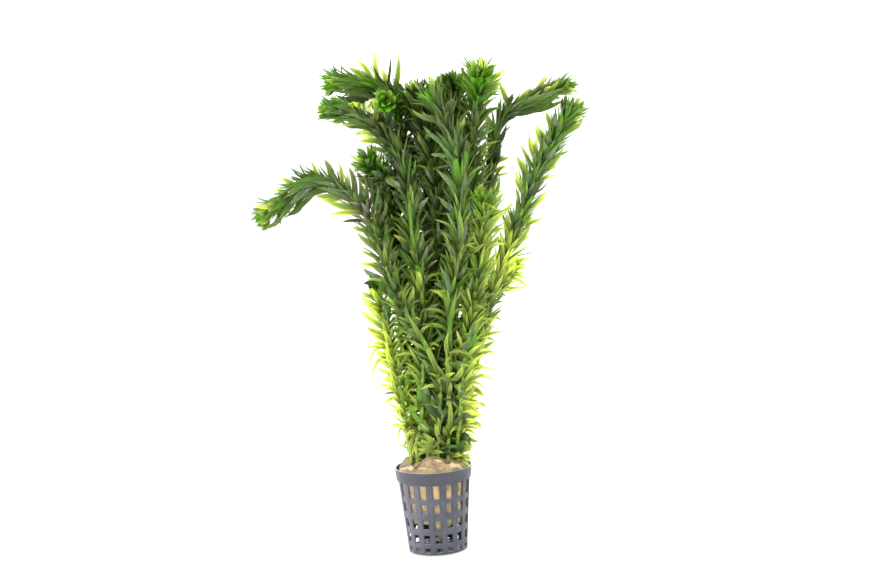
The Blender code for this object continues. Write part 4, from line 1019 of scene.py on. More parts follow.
def strewn_leaves(name, look, curves, draw):
    """The leaves of a shoot that stand in its whorls: their blades' points and their tones.

    Each leaves the stem at its lean and bends on over its outer half. A share of them stands
    free: these lean out and bend further, sway aside and droop. The lowest lean out over the wool
    and are short, and so are those in the bud. Their faces turn from the stem towards the front,
    where the lamps stand.
    """
    curve, run = curves[name]
    place, share, ahead, outward = kept_in_whorls(look, curve, run, draw)
    count = len(place)
    place = np.clip(place + draw.uniform(-PLACE_SCATTER, PLACE_SCATTER, count) * MM, 0, run[-1])
    above_foot = place - BARE_FOOT
    high = np.minimum(share / LOW_UP_TO, 1) ** LOW_POWER
    bud = np.clip((place - run[-1]) / BUD_LENGTH + 1, 0, 1)
    foot = np.clip(1 - above_foot / FOOT_LENGTH, 0, 1)
    free = draw.random(count) < np.interp(share, LOOK_PARTS, look.free)
    lean = np.interp(share, LOOK_PARTS, look.lean) + draw.normal(0, LEAN_SCATTER, count)
    lean = lean + np.where(free, FREE_LEAN, 0) + BUD_SPREAD * bud * (1 - bud)
    lean = np.radians(np.maximum(lean, LEAST_LEAN) + FOOT_LEAN * foot)
    bend = np.where(free, FREE_BEND - FREE_BEND_FALLS * share, BEND)
    bend = np.radians(bend + draw.normal(0, BEND_SCATTER, count) - BUD_CLOSES * bud)
    short = FOOT_LEAF_SHARE + (1 - FOOT_LEAF_SHARE) * np.minimum(above_foot / FOOT_REACH, 1)
    length = look.leaf * MM * draw.uniform(*LENGTH_RANGE, count) * (1 - BUD_SHORTER * bud) * short
    half = 0.5 * length[:, None]
    root = sampled(curve, run, place) + outward * (STEM_RADIUS * ROOTED_AT)
    start = np.cos(lean)[:, None] * ahead + np.sin(lean)[:, None] * outward
    final = np.cos(lean + bend)[:, None] * ahead + np.sin(lean + bend)[:, None] * outward
    sway = draw.normal(0, np.where(free, FREE_SWAY, SWAY))[:, None] * np.cross(ahead, outward)
    droop = np.abs(draw.normal(0, FREE_DROOP, count)) * (LOW_DROOP - high)
    droop = np.where(free, droop, 0) + FOOT_DROOP * foot
    middle = root + start * half
    tip = middle + (final + sway) * half
    tip[:, 2] -= droop * half[:, 0]
    width = LEAF_HALF_WIDTH * draw.uniform(*WIDTH_RANGE, count)
    width = width * (LOW_WIDTH - WIDTH_FALLS * high + BUD_WIDTH * bud)
    face = outward + np.array([0, -FRONT_TURN, 0])
    points = blades(root, middle, tip, face, width, draw.normal(0, TWIST_SCATTER, count))
    centre = (root + tip) / 2
    crowd = crowding(centre, name, curves)
    tissue = strewn_tissue(look.tones, share, bud, free, crowd, draw)
    return points, tissue + painted_light_and_age(centre)


def strewn_tissue(tones, share, bud, free, crowd, draw):
    """The tones of leaves in whorls. They are fresh near and in the bud and yellow low down and
    where they have aged. Where other shoots crowd a leaf it is browner and less yellow, and painted
    shade darkens it."""
    count = len(share)
    fresh, yellow, brown, glint_share, light = tones
    aged = np.where(draw.random(count) < AGED + AGED_FREE * free, AGED_YELLOW, 0.0)
    aged = aged * (1 - AGED_FALLS * share)
    fresh = fresh * np.clip((share - FRESH_FROM) / FRESH_OVER, 0, 1) + BUD_FRESH * bud
    fresh = fresh + draw.normal(*FRESH_SCATTER, count)
    yellow = (yellow * (1 - share) ** YELLOW_POWER + aged) * (1 - CROWD_UNYELLOWS * crowd)
    yellow = yellow + draw.normal(*YELLOW_SCATTER, count)
    brown = brown + CROWD_BROWN * crowd * draw.random(count) + draw.normal(*BROWN_SCATTER, count)
    glint_share = glint_share + draw.normal(*GLINT_SCATTER, count)
    light = light + draw.uniform(*LIGHT_RANGE, count) - CROWD_PAINTED_SHADE * (crowd - CROWD_FREE)
    return np.stack([fresh, yellow, brown, glint_share, light + BUD_LIGHT * bud], axis=-1)


def crowding(points, name, curves):
    """How other shoots crowd points, from 0 for not at all to 1 for hemmed in: the sum over them
    of exp(-(nearest distance / CROWD_REACH)^2), as a share of CROWD_FULL."""
    coarse = 10
    total = np.zeros(len(points))
    for other, (curve, _) in curves.items():
        if other != name:
            apart = points[:, None] - curve[None, ::coarse]
            total += np.exp(-((apart**2).sum(-1).min(axis=1)) / CROWD_REACH**2)
    return np.clip(total / CROWD_FULL, 0, 1)


def painted_light_and_age(points):
    """What the patches of painted light and shade, and of age, add to the tones at points: each fades
    as exp(-(distance / spread)^2).
    """
    total = np.zeros((len(points), 5))
    for (middle_x, middle_z), (spread_x, spread_z), amounts in PAINTED_LIGHT_AND_AGE_PATCHES:
        far = ((points[:, 0] / MM - middle_x) / spread_x) ** 2
        far = far + ((points[:, 2] / MM - middle_z) / spread_z) ** 2
        total += np.exp(-far)[:, None] * np.array(amounts)
    return total


def clear_depths(pixels, depth, curves):
    """The depths at which leaves lie: just in front of the stem that carries them, or of the
    foremost stem that the camera sees close to them, but no further forward than FRONT_LIMIT."""
    far_behind = 1.0
    for curve, run in curves.values():
        leafy = curve[run > BARE_FOOT]
        apart = np.linalg.norm(in_picture(leafy)[None] - pixels[:, None], axis=-1)
        in_front = leafy[None, :, 1] - LEAF_CLEAR
        depth = np.minimum(depth, np.where(apart < STEM_IN_WAY, in_front, far_behind).min(axis=1))
    return np.maximum(depth, FRONT_LIMIT)


def standing_leaves(name, curves, draw):
    """The leaves of a shoot that stand out, from their table: their blades' points and tones.

    Each is rooted where the stem is seen closest to its root. The control point is twice the
    middle less the mean of root and tip, so that the curve passes the middle, and the tip goes on
    past the seen one by TIP_PAST of the step from the middle, because a blade ends in a point too
    fine to be seen. A leaf that is seen narrower than its blade is turned towards its edge.
    """
    rows = SEEN_LEAVES[name]
    count = len(rows)
    seen = np.array([row[:-1] for row in rows], float)
    seen_root, seen_middle, seen_tip, seen_width = np.split(seen, [2, 4, 6], axis=1)
    curve, run = curves[name]
    leafy = curve[run > BARE_FOOT]
    apart = np.linalg.norm(in_picture(leafy)[None] - seen_root[:, None], axis=-1)
    root = leafy[apart.argmin(axis=1)]
    depth = clear_depths(seen_middle, root[:, 1] - MIDDLE_AHEAD, curves)
    through = on_sight_lines(seen_middle, depth)
    seen_end = seen_tip + TIP_PAST * (seen_tip - seen_middle)
    tip = on_sight_lines(seen_end, depth - TIP_AHEAD)
    root = root + unit(through - root) * (STEM_RADIUS * ROOTED_AT)
    middle = 2 * through - (root + tip) / 2
    half = seen_width[:, 0] * PIXEL * SEEN_HALF
    width = np.maximum(half, LEAF_HALF_WIDTH * LEAST_WIDTH)
    turned = np.arccos(np.clip(half / width, LEAST_SEEN, 1))
    turned = turned * np.where(np.arange(count) % 2 == 0, 1, -1)
    turned = turned + draw.normal(0, SEEN_TURN_SCATTER, count)
    along = unit(tip - root)
    aside = unit(np.cross(along, (0, -1.0, 0)))
    face = np.cos(turned)[:, None] * np.cross(aside, along) + np.sin(turned)[:, None] * aside
    points = blades(root, middle, tip, face, width, draw.normal(0, SEEN_TWIST_SCATTER, count))
    tissue = np.array([TONES[row[-1]] for row in rows])
    tissue[:, 4] += draw.normal(0, SEEN_LIGHT_SCATTER, count)
    return points, tissue


def shoot_stem(curve, run, tones):
    """A shoot's stem as rings of points, swollen a little at each whorl and domed at its end, and
    its tones. It is fresh towards the bud as share^3, and yellow towards the foot."""
    around = STEM_AROUND
    whorls = whorl_places(run[-1])
    places = np.arange(0, run[-1], STEM_STEP)
    forward, sides = carried_frames(curve)
    share = places / run[-1]
    nearest = np.abs(places[:, None] - whorls[None]).min(axis=1)
    above_root = np.clip((places - ROOT_LENGTH) / ROOT_WIDENS, 0, 1)
    radius = ROOT_RADIUS + (STEM_RADIUS - ROOT_RADIUS) * above_root
    radius *= 1 - STEM_THINS * share**5
    radius *= 1 + WHORL_SWELLS * faded(nearest / WHORL_LENGTH)
    centre = sampled(curve, run, places)
    ahead = unit(sampled(forward, run, places))
    side = unit(sampled(sides, run, places))[:, None]
    other = np.cross(ahead[:, None], side)
    turn = np.arange(around)[None, :, None] * 2 * math.pi / around
    spokes = np.cos(turn) * side + np.sin(turn) * other
    points = centre[:, None] + radius[:, None, None] * spokes
    ends = np.stack([centre[0], centre[-1] + STEM_DOME * ahead[-1]])
    count = len(places) * around
    quads = ring_quads(len(places), around)
    low = end_fan(0, around, count, turned=True)
    high = end_fan(count - around, around, count + 1)
    fresh, yellow, brown = tones[:3]
    light = STEM_LIGHT + WHORL_LIGHT * faded(nearest / WHORL_LIGHT_LENGTH)
    rings = [share**3 * fresh, (1 - share) ** YELLOW_POWER * yellow, brown + 0 * share, light]
    tissue = np.repeat(np.stack(rings, axis=-1), around, axis=0)
    tissue = np.vstack([tissue, tissue[:1], tissue[-1:]])
    return np.vstack([points.reshape(-1, 3), ends]), quads, np.vstack([low, high]), tissue


def shoot(name, look, curves, materials, draw):
    """One shoot in one mesh: its stem, then its leaves. Its points carry their tones, whose lightness
    holds painted light and shade, and, on a blade, where they are across and along it and its share
    of painted glints."""
    stem, stem_quads, stem_caps, stem_tissue = shoot_stem(*curves[name], look.tones)
    strewn, strewn_tones = strewn_leaves(name, look, curves, draw)
    standing, standing_tones = standing_leaves(name, curves, draw)
    leaves = np.concatenate([strewn, standing])
    leaf_tissue = np.clip(np.concatenate([strewn_tones, standing_tones]), 0, 1)
    count, size = leaves.shape[:2]
    quads, fans = blade_faces(count, len(stem))
    points = np.vstack([stem, leaves.reshape(-1, 3)])
    tissue = np.vstack([stem_tissue, np.repeat(leaf_tissue[:, [0, 1, 2, 4]], size, axis=0)])
    along = np.append(np.repeat(LEAF_STATIONS, 4), 1.0)
    across = np.append(np.tile([-1, 0, 1, 0], len(LEAF_STATIONS)), 0)
    blade = np.tile(np.stack([across, along, 0 * along], -1), (count, 1))
    blade[:, 2] = np.repeat(leaf_tissue[:, 3], size)
    blade = np.vstack([np.zeros((len(stem), 3)), blade])
    sharp = np.append(np.tile([True, False, True, False], len(LEAF_STATIONS)), True)
    sharp = np.concatenate([np.zeros(len(stem), bool), np.tile(sharp, count)])
    made = new_piece(
        name.replace("stem", "shoot"), points,
        [(stem_quads, 1), (stem_caps, 1), (quads, 0), (fans, 0)], materials,
        [("tissue", "FLOAT_COLOR", tissue), ("blade", "FLOAT_VECTOR", blade)], sharp,
    )
    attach(made, BODY)
    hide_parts(name)


class Net:
    """Adds nodes to a node tree, one call a node or a short chain of them."""

    def __init__(self, tree):
        self.tree = tree

    def add(self, kind, values=(), **settings):
        """A node with its sockets set from values: a number or colour, or a socket to link."""
        node = self.tree.nodes.new(kind)
        for key, value in settings.items():
            setattr(node, key, value)
        for socket, value in dict(values).items():
            if isinstance(value, bpy.types.NodeSocket):
                self.tree.links.new(value, node.inputs[socket])
            else:
                node.inputs[socket].default_value = value
        return node

    def math(self, operation, first, second=0.0, clamp=False):
        values = {0: first, 1: second}
        return self.add("ShaderNodeMath", values, operation=operation, use_clamp=clamp).outputs[0]

    def line(self, value, slope, start, clamp=False):
        """slope * value + start."""
        return self.math("ADD", self.math("MULTIPLY", value, slope), start, clamp)

    def mix(self, share, first, second, blend="MIX"):
        """Two colours mixed by a share."""
        values = {0: share, 6: first, 7: second}
        return self.add("ShaderNodeMix", values, data_type="RGBA", blend_type=blend).outputs[2]

    def tint(self, colour, mask, most, other):
        """A colour turned to another by a mask, by a share of most where the mask is full."""
        return self.mix(self.math("MULTIPLY", mask, most), colour, other)

    def dim(self, colour, level):
        """A colour times a level of light."""
        grey = self.add("ShaderNodeCombineColor", {0: level, 1: level, 2: level}).outputs[0]
        return self.mix(1.0, colour, grey, "MULTIPLY")

    def ramp(self, value, low, high):
        """A value spread from low..high to 0..1, with soft ends."""
        values = {0: value, 1: low, 2: high}
        return self.add("ShaderNodeMapRange", values, interpolation_type="SMOOTHSTEP").outputs[0]

    def noise(self, place, scale, detail=3.0, roughness=0.6):
        values = {"Vector": place, "Scale": scale, "Detail": detail, "Roughness": roughness}
        return self.add("ShaderNodeTexNoise", values).outputs["Fac"]

    def bump(self, height, strength, depth):
        """The normal bent by a height."""
        values = {"Strength": strength, "Distance": depth, "Height": height}
        return self.add("ShaderNodeBump", values).outputs[0]

    def axes(self, vector):
        """The three parts of a vector."""
        return self.add("ShaderNodeSeparateXYZ", {0: vector}).outputs

    def attribute(self, name):
        return self.add("ShaderNodeAttribute", attribute_name=name).outputs

    def principled(self, values):
        return self.add("ShaderNodeBsdfPrincipled", values).outputs[0]

    def put_out(self, shader, kind="Material"):
        self.add("ShaderNodeOutput" + kind, {0: shader})


def new_group(name, inputs, outputs):
    """An empty node group with named sockets: (name, kind, value)."""
    group = bpy.data.node_groups.new(name, "ShaderNodeTree")
    for label, kind, value in inputs:
        socket = group.interface.new_socket(label, in_out="INPUT", socket_type="NodeSocket" + kind)
        socket.default_value = value
    for label, kind in outputs:
        group.interface.new_socket(label, in_out="OUTPUT", socket_type="NodeSocket" + kind)
    net = Net(group)
    return group, net, net.add("NodeGroupInput").outputs, net.add("NodeGroupOutput").inputs


def tissue_group():
    """Colour and grain of living tissue, shared by leaves and stems.

    The base colour goes from deep to fresh, then towards yellow and brown by the masks that the
    points carry, and is mottled by two noises. The lightness that the points carry, partly their
    own scattered tone and partly painted light and shade, scales it."""
    group, net, given, made = new_group(
        "living_tissue",
        [*((label, "Color", colour) for label, colour in LEAF_COLOURS.items()),
         ("Mottle", "Float", 0.35), ("Spread", "Float", 1.0)],
        [("Color", "Color"), ("Mask", "Float"), ("Grain", "Float"), ("Level", "Float")],
    )
    tissue = net.attribute("tissue")
    masks = net.add("ShaderNodeSeparateColor", {0: tissue["Color"]}).outputs
    place = net.add("ShaderNodeTexCoord").outputs["Object"]
    broad = net.noise(place, 60.0)
    fine = net.noise(place, 900.0)
    colour = net.mix(masks[0], given["Deep"], given["Fresh"])
    patchy = net.math("MULTIPLY", net.math("SUBTRACT", broad, 0.5), 0.4)
    spread = net.math("MULTIPLY", masks[1], given["Spread"])
    yellow = net.math("ADD", spread, patchy, clamp=True)
    colour = net.mix(yellow, colour, given["Yellow"])
    colour = net.mix(masks[2], colour, given["Brown"])
    # The points' lightness: scattered tone together with painted light and shade.
    light = net.line(tissue["Alpha"], 1.3, 0.3)
    speck = net.math("MULTIPLY", net.math("SUBTRACT", fine, 0.5), given["Mottle"])
    level = net.math("ADD", light, speck)
    results = {"Color": net.dim(colour, level), "Mask": yellow, "Grain": fine, "Level": level}
    for label, result in results.items():
        net.tree.links.new(result, made[label])
    return group


def new_material(name):
    material = bpy.data.materials.new(name)
    material.use_nodes = True
    material.node_tree.nodes.clear()
    return material, Net(material.node_tree)


def leaf_material(group):
    """Wet leaf: a glossy face over tissue that lets the light behind it through. Its yellow gathers
    in the margins and the tip. Painted shade darkens it towards its base, and pale grey-green specks
    of painted glint, as strong as the leaf's share of them, stand in for the shine of its wet face."""
    material, net = new_material("wet_leaf")
    side, along, glint_amount = net.axes(net.attribute("blade")["Vector"])
    across = net.math("ABSOLUTE", side)
    margin = net.ramp(across, 0.3, 1.0)
    tip = net.ramp(along, 0.55, 1.0)
    spread = net.line(net.math("MAXIMUM", margin, tip), 0.75, 0.45)
    tissue = net.add("ShaderNodeGroup", {**LEAF_COLOURS, "Spread": spread}, node_tree=group).outputs
    midrib = net.math("SUBTRACT", 1.0, net.ramp(across, 0.0, 0.22))
    colour = net.tint(tissue["Color"], midrib, 0.12, MIDRIB_GREEN)
    colour = net.tint(colour, tip, 0.12, TIP_GREEN)
    # Painted shade: darker towards the base of the blade, a little brighter past 0.7 of its length.
    colour = net.dim(colour, net.line(net.ramp(along, 0.0, 0.7), 0.75, 0.35))
    place = net.add("ShaderNodeTexCoord").outputs["Object"]
    # Painted glints: pale grey-green specks from a fine noise, as strong as the leaf's glint share, in
    # place of the lamps' reflections on the wet face.
    glints = net.line(net.ramp(net.noise(place, 1000.0, 2.0), 0.47, 0.62), 0.65, 0.1)
    colour = net.mix(net.math("MULTIPLY", glint_amount, glints), colour, PAINTED_GLINT_GREY)
    face = net.principled({
        "Base Color": colour,
        "Roughness": net.line(tissue["Grain"], 0.25, 0.2),
        "Normal": net.bump(tissue["Grain"], 0.25, 0.2 * MM),
        "IOR": 1.4,
        "Coat Weight": 0.34,
        "Coat Roughness": 0.12,
    })
    tinted = net.mix(0.6, colour, net.mix(tissue["Mask"], GREEN_GLOW, YELLOW_GLOW))
    # What the leaf lets through is scaled by the same lightness, painted shade and light included.
    glow = net.dim(tinted, net.line(tissue["Level"], 0.75, 0.12, clamp=True))
    through = net.add("ShaderNodeBsdfTranslucent", {"Color": glow}).outputs[0]
    share = net.line(tissue["Mask"], 0.4, 0.38, clamp=True)
    net.put_out(net.add("ShaderNodeMixShader", {0: share, 1: face, 2: through}).outputs[0])
    return material


def stem_material(group):
    """Stem: lighter and yellower than the leaves, and paler at its whorls."""
    material, net = new_material("wet_stem")
    tissue = net.add("ShaderNodeGroup", STEM_COLOURS, node_tree=group).outputs
    normal = net.bump(tissue["Grain"], 0.3, 0.2 * MM)
    net.put_out(net.principled({"Base Color": tissue["Color"], "Roughness": 0.32, "Normal": normal}))
    return material


def wool_material():
    """Rockwool: tan fibres, greyer in patches and at the left, with a green-brown bloom of algae at
    the right, pale on its ridges, and with painted shade in its creases. Painted shade darkens it
    lower down inside the pot, and a nearly black painted shadow lies where it hangs low at the back."""
    material, net = new_material("rockwool_fibre")
    place = net.add("ShaderNodeTexCoord").outputs["Object"]
    x, y, z = net.axes(place)
    broad = net.noise(place, 130.0, 4.0)
    stretched = net.add("ShaderNodeMapping", {"Vector": place, "Scale": (1, 1, 0.35)}).outputs[0]
    fibre = net.noise(stretched, 1300.0, 5.0, 0.7)
    colour = net.mix(net.ramp(broad, 0.36, 0.66), WOOL_TAN, WOOL_SHADE)
    colour = net.tint(colour, net.ramp(x, -9 * MM, -18 * MM), 0.55, WOOL_GREY)
    bloom = net.math("MULTIPLY", net.ramp(x, 4 * MM, 14 * MM), net.ramp(broad, 0.4, 0.55))
    colour = net.tint(colour, bloom, 0.7, WOOL_ALGAE)
    # Painted shade: darker lower down inside the pot.
    colour = net.tint(colour, net.ramp(z, 36 * MM, 22 * MM), 0.6, WOOL_LOW_SHADE)
    # Painted shadow, nearly black, where the wool hangs low at the back inside the pot.
    back_shadow = net.math("MULTIPLY", net.ramp(z, 19 * MM, 13 * MM), net.ramp(y, 2 * MM, 12 * MM))
    colour = net.tint(colour, back_shadow, 0.92, WOOL_BACK_SHADOW)
    threads = net.math("MULTIPLY", net.ramp(fibre, 0.45, 0.75), 0.6)
    colour = net.tint(colour, threads, net.math("SUBTRACT", 1.0, back_shadow), WOOL_THREAD)
    fold = net.axes(net.attribute("relief")["Vector"])[0]
    colour = net.tint(colour, net.ramp(fold, 0.35, 1.1), 0.8, WOOL_RIDGE)
    # Painted shade in the sunken creases.
    colour = net.tint(colour, net.ramp(fold, -0.4, -1.4), 0.6, WOOL_CREASE_SHADE)
    normal = net.bump(fibre, 0.8, 0.8 * MM)
    net.put_out(net.principled({"Base Color": colour, "Roughness": 0.9, "Normal": normal}))
    return material


def pot_material():
    """Moulded slate-grey plastic with a soft shine, darker on its band. A painted highlight lies on
    the upward faces of its ledges, and painted light makes its left side paler."""
    material, net = new_material("slate_plastic")
    where = net.add("ShaderNodeTexCoord").outputs
    x, _, z = net.axes(where["Object"])
    upward = net.axes(where["Normal"])[2]
    broad = net.noise(where["Object"], 120.0, 3.0)
    fine = net.noise(where["Object"], 1400.0, 2.0)
    colour = net.mix(net.ramp(broad, 0.3, 0.75), POT_DARK, POT_PALE)
    # Painted light: the left side paler.
    colour = net.tint(colour, net.ramp(x, 4 * MM, -20 * MM), 0.5, POT_LIT_SIDE)
    colour = net.tint(colour, net.ramp(z, 46.2 * MM, 47.5 * MM), 0.7, POT_BAND_DARK)
    # Painted highlight on faces that look upwards.
    colour = net.tint(colour, net.ramp(upward, 0.3, 0.8), 0.8, POT_LEDGE_HIGHLIGHT)
    rough = net.line(fine, 0.25, 0.26)
    normal = net.bump(broad, 0.25, 0.4 * MM)
    net.put_out(net.principled({"Base Color": colour, "Roughness": rough, "Normal": normal}))
    return material


def hump(x, y, lumps):
    """The sum of soft round lumps, all in mm: each is its height times exp(-(distance/spread)^2)."""
    total = np.zeros_like(x)
    for middle_x, middle_y, spread_x, spread_y, height in lumps:
        along_x = ((x - middle_x) / spread_x) ** 2
        total = total + height * np.exp(-along_x - ((y - middle_y) / spread_y) ** 2)
    return total


def cone_radius(height):
    """The pot's plain outside below its band, at a height in mm."""
    return POT_FOOT_RADIUS + (POT_SHOULDER_RADIUS - POT_FOOT_RADIUS) * height / POT_SHOULDER


def pot_rows():
    """The rows of the pot's grid, (outer radius, outer height, inner radius, inner height, relief)
    in mm, from the middle of the base out to the foot and up to the lip. The relief says how far
    the bars between windows lie back from the ribs."""
    floor = (*FLOOR_MIDDLE, *np.linspace(*FLOOR_SLOT_SPAN, 5), *FLOOR_RIM)
    rows = [(radius, 0, radius, POT_WALL, 0) for radius in floor]
    inside = cone_radius(POT_WALL) - POT_WALL
    for out, height, back, rise, relief in FOOT_EDGE:
        rows.append((POT_FOOT_RADIUS + out, height, inside + back, POT_WALL + rise, relief))
    for low, high in reversed(WINDOW_ROWS):
        sill = [low - below for below in SILL_ROWS]
        levels = (*sill, *np.linspace(low, high, 4)[1:], high + HEAD_ROW)
        for level, relief in zip(levels, WINDOW_RELIEFS):
            radius = cone_radius(level)
            rows.append((radius, level, radius - POT_WALL, max(level, FLOOR_CLEAR), relief))
    rows += [(*row, 0) for row in POT_BAND]
    return np.array(rows)


def pot_angles():
    """Each column's angles from its window's middle to the next window, in degrees, and the angle
    of half a window."""
    pitch = 360 / COLUMNS
    half = math.degrees(math.asin(WINDOW_WIDTH / 2 / POT_SHOULDER_RADIUS))
    window = (-half, -half / 2, 0, half / 2, half)
    near_edge = (half + RIB_EDGE_PART, half + RIB_EDGE)
    far_edge = (pitch - half - RIB_EDGE, pitch - half - RIB_EDGE_PART)
    return np.array([*window, *near_edge, pitch / 2, *far_edge]), half


def pot_holes(rows, in_window):
    """Which cells of the pot's grid are open: the windows between their bottoms and tops, and
    every other column of the floor's slots."""
    middle = (rows[:-1, 1] + rows[1:, 1]) / 2
    window_strip = np.zeros(len(middle), bool)
    for bottom, top in WINDOW_ROWS:
        window_strip |= (middle > bottom - NEAR) & (middle < top)
    inner, outer = FLOOR_SLOT_SPAN
    slot_strip = (rows[:-1, 0] > inner - NEAR) & (rows[1:, 0] < outer + NEAR) & (rows[1:, 1] == 0)
    cell_open = in_window & np.roll(in_window, -1)
    even = np.repeat(np.arange(COLUMNS) % 2 == 0, len(in_window) // COLUMNS)
    return window_strip[:, None] & cell_open[None] | slot_strip[:, None] & (cell_open & even)[None]


def thick_sheet(outer, inner, holes):
    """Faces of a thick sheet with holes: its outer and inner grids of corners (rows, around), and
    walls where an open cell meets a closed one. Rows end open; the columns wrap."""
    rows, around = holes.shape
    count = (rows + 1) * around
    here = np.arange(around)
    after = (here + 1) % around
    low = np.arange(rows)[:, None] * around
    a, b = low + here, low + after
    d, c = a + around, b + around
    skin = np.stack([a, b, c, d], -1)
    shut = ~holes
    faces = [skin[shut], skin[shut][:, ::-1] + count]
    no_row = np.zeros((1, around), bool)
    edges = (
        (shut[:, here - 1], d, a),
        (shut[:, after], b, c),
        (np.vstack([no_row, shut[:-1]]), a, b),
        (np.vstack([shut[1:], no_row]), c, d),
    )
    for shut_beyond, first, second in edges:
        found = holes & shut_beyond
        first, second = first[found], second[found]
        faces.append(np.stack([second, first, first + count, second + count], -1))
    return np.vstack([outer.reshape(-1, 3), inner.reshape(-1, 3)]), np.vstack(faces)


def net_pot(material):
    """The pot as one thick sheet, turned from the middle of its floor to its lip. Its radius is
    the row's, less a recess in the windows' columns that fades out over the edge of each rib."""
    rows = pot_rows()
    steps, half = pot_angles()
    pitch = 360 / COLUMNS
    degrees = (np.arange(COLUMNS)[:, None] * pitch + steps[None]).ravel() - 90 + COLUMN_TURN
    turn = np.radians(degrees)
    around = len(turn)
    off = np.abs((np.tile(steps, COLUMNS) + pitch / 2) % pitch - pitch / 2)
    fade = np.clip((half + RIB_EDGE - off) / RIB_EDGE, 0, 1)
    fade = fade * fade * (3 - 2 * fade)
    spokes = np.stack([np.cos(turn), np.sin(turn), np.zeros(around)], -1)
    up = np.array([0, 0, 1.0])
    relief = rows[:, 4:5]
    recess = BAR_RECESS * np.minimum(relief, 1) + BAR_STEP * np.clip(relief - 1, 0, 2)
    radius = rows[:, 0:1] - recess * fade[None]
    outer = radius[..., None] * spokes[None] + rows[:, 1, None, None] * up
    inner = rows[:, 2, None, None] * spokes[None] + rows[:, 3, None, None] * up
    holes = pot_holes(rows, off < half + NEAR)
    points, quads = thick_sheet(outer * MM, inner * MM, holes)
    count = len(rows) * around
    last = count - around + np.arange(around)
    after = count - around + (np.arange(around) + 1) % around
    lip = np.stack([last, after, after + count, last + count], -1)
    centre = np.array([[0, 0, 0], [0, 0, POT_WALL * MM]])
    base = end_fan(0, around, 2 * count, turned=True)
    floor = end_fan(count, around, 2 * count + 1)
    made = new_piece(
        "slotted_pot", np.vstack([points, centre]),
        [(quads, 0), (lip, 0), (base, 0), (floor, 0)], [material],
    )
    made.data.set_sharp_from_angle(angle=math.radians(POT_SHARP_FROM))
    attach(made, BODY)
    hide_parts("net_pot")


def ripple(points, wave, draw, count=14):
    """Soft unevenness about 0: the sum of sine waves of one length in random directions, divided
    by the root of how many they are."""
    ways = unit(draw.normal(size=(count, 3))) * 2 * math.pi / wave
    shifts = draw.uniform(0, 2 * math.pi, count)
    return np.sin(points @ ways.T + shifts).sum(-1) / math.sqrt(count)


def crease(x, y, lines):
    """Folds along short lines, in mm: each is its height times exp(-(distance / width)^2), where
    the distance is to the nearest point of the line."""
    total = np.zeros_like(x)
    for x0, y0, x1, y1, width, height in lines:
        run_x, run_y = x1 - x0, y1 - y0
        share = np.clip(((x - x0) * run_x + (y - y0) * run_y) / (run_x**2 + run_y**2), 0, 1)
        distance = np.hypot(x - x0 - share * run_x, y - y0 - share * run_y)
        total += height * faded(distance / width)
    return total


def wool_reach(height):
    """How far out the wool goes inside the pot's wall, at a height, in mm."""
    return cone_radius(height) - POT_WALL - WOOL_GAP


def wool_grid():
    """The plug's rows before its lumps, (radius, height) in mm, from the middle of its top over
    its rounded edge and down to the middle of its foot, and how many rows each part has."""
    reach = wool_reach(WOOL_EDGE)
    top = [(reach * share, WOOL_EDGE) for share in np.linspace(WOOL_MIDDLE, WOOL_FLAT, 30)]
    edge = []
    for turn in np.linspace(0.25, 1.45, 5):
        out = WOOL_FLAT + WOOL_ROUNDED * math.sin(turn)
        edge.append((reach * out, WOOL_EDGE - WOOL_ROUND_DROP * (1 - math.cos(turn))))
    heights = np.linspace(WOOL_EDGE - 3, WOOL_FOOT + 1.5, 34)
    side = [(wool_reach(z), z) for z in heights]
    foot_reach = wool_reach(WOOL_FOOT)
    foot = [(foot_reach * share, WOOL_FOOT) for share in np.linspace(0.95, WOOL_MIDDLE, 16)]
    return np.array(top + edge + side + foot), (len(top) + len(edge), len(side), len(foot))


def wool_points(draw):
    """The plug's points in mm, (rows, around, 3), and the relief of its top's folds.

    Its top is raised by the lumps and folds. Its foot hangs down by the tongues, no lower than
    WOOL_LOWEST, and is drawn in as the pot narrows. All of it is roughened by ripples: the top
    upwards, the side outwards and less, and the foot downwards.
    """
    rows, (top, side, foot) = wool_grid()
    turn = np.arange(WOOL_AROUND) * 2 * math.pi / WOOL_AROUND
    x = rows[:, 0:1] * np.cos(turn)[None]
    y = rows[:, 0:1] * np.sin(turn)[None]
    z = np.repeat(rows[:, 1:2], WOOL_AROUND, axis=1)
    within = np.clip((1 - rows[:, 0:1] / rows[:, 0].max()) / WOOL_EDGE_SPAN, 0, 1)
    folds = crease(x, y, WOOL_FOLDS)
    rise = hump(x, y, WOOL_LUMPS) + folds
    z[:top] += (rise * (WOOL_EDGE_RISE + (1 - WOOL_EDGE_RISE) * within))[:top]
    z[-foot:] -= np.minimum(hump(x, y, WOOL_TONGUES), WOOL_FOOT - WOOL_LOWEST)[-foot:]
    inward = (wool_reach(z) / wool_reach(WOOL_FOOT))[-foot:]
    x[-foot:] *= inward
    y[-foot:] *= inward
    points = np.stack([x, y, z], -1)
    upper = top - WOOL_OUTER_ROWS
    ways = np.stack([np.cos(turn), np.sin(turn), 0 * turn], -1)
    ways = np.repeat(ways[None], len(rows), axis=0)
    ways[:upper] = (0, 0, 1)
    ways[-foot:] = (0, 0, -1)
    rough = sum(share * ripple(points, wave, draw) for wave, share in WOOL_RIPPLES)
    amount = np.ones((len(rows), 1))
    amount[upper : top + side] = WOOL_WALL_SHARE
    points += (rough * amount * WOOL_ROUGHNESS)[..., None] * ways
    return points, folds[:top]


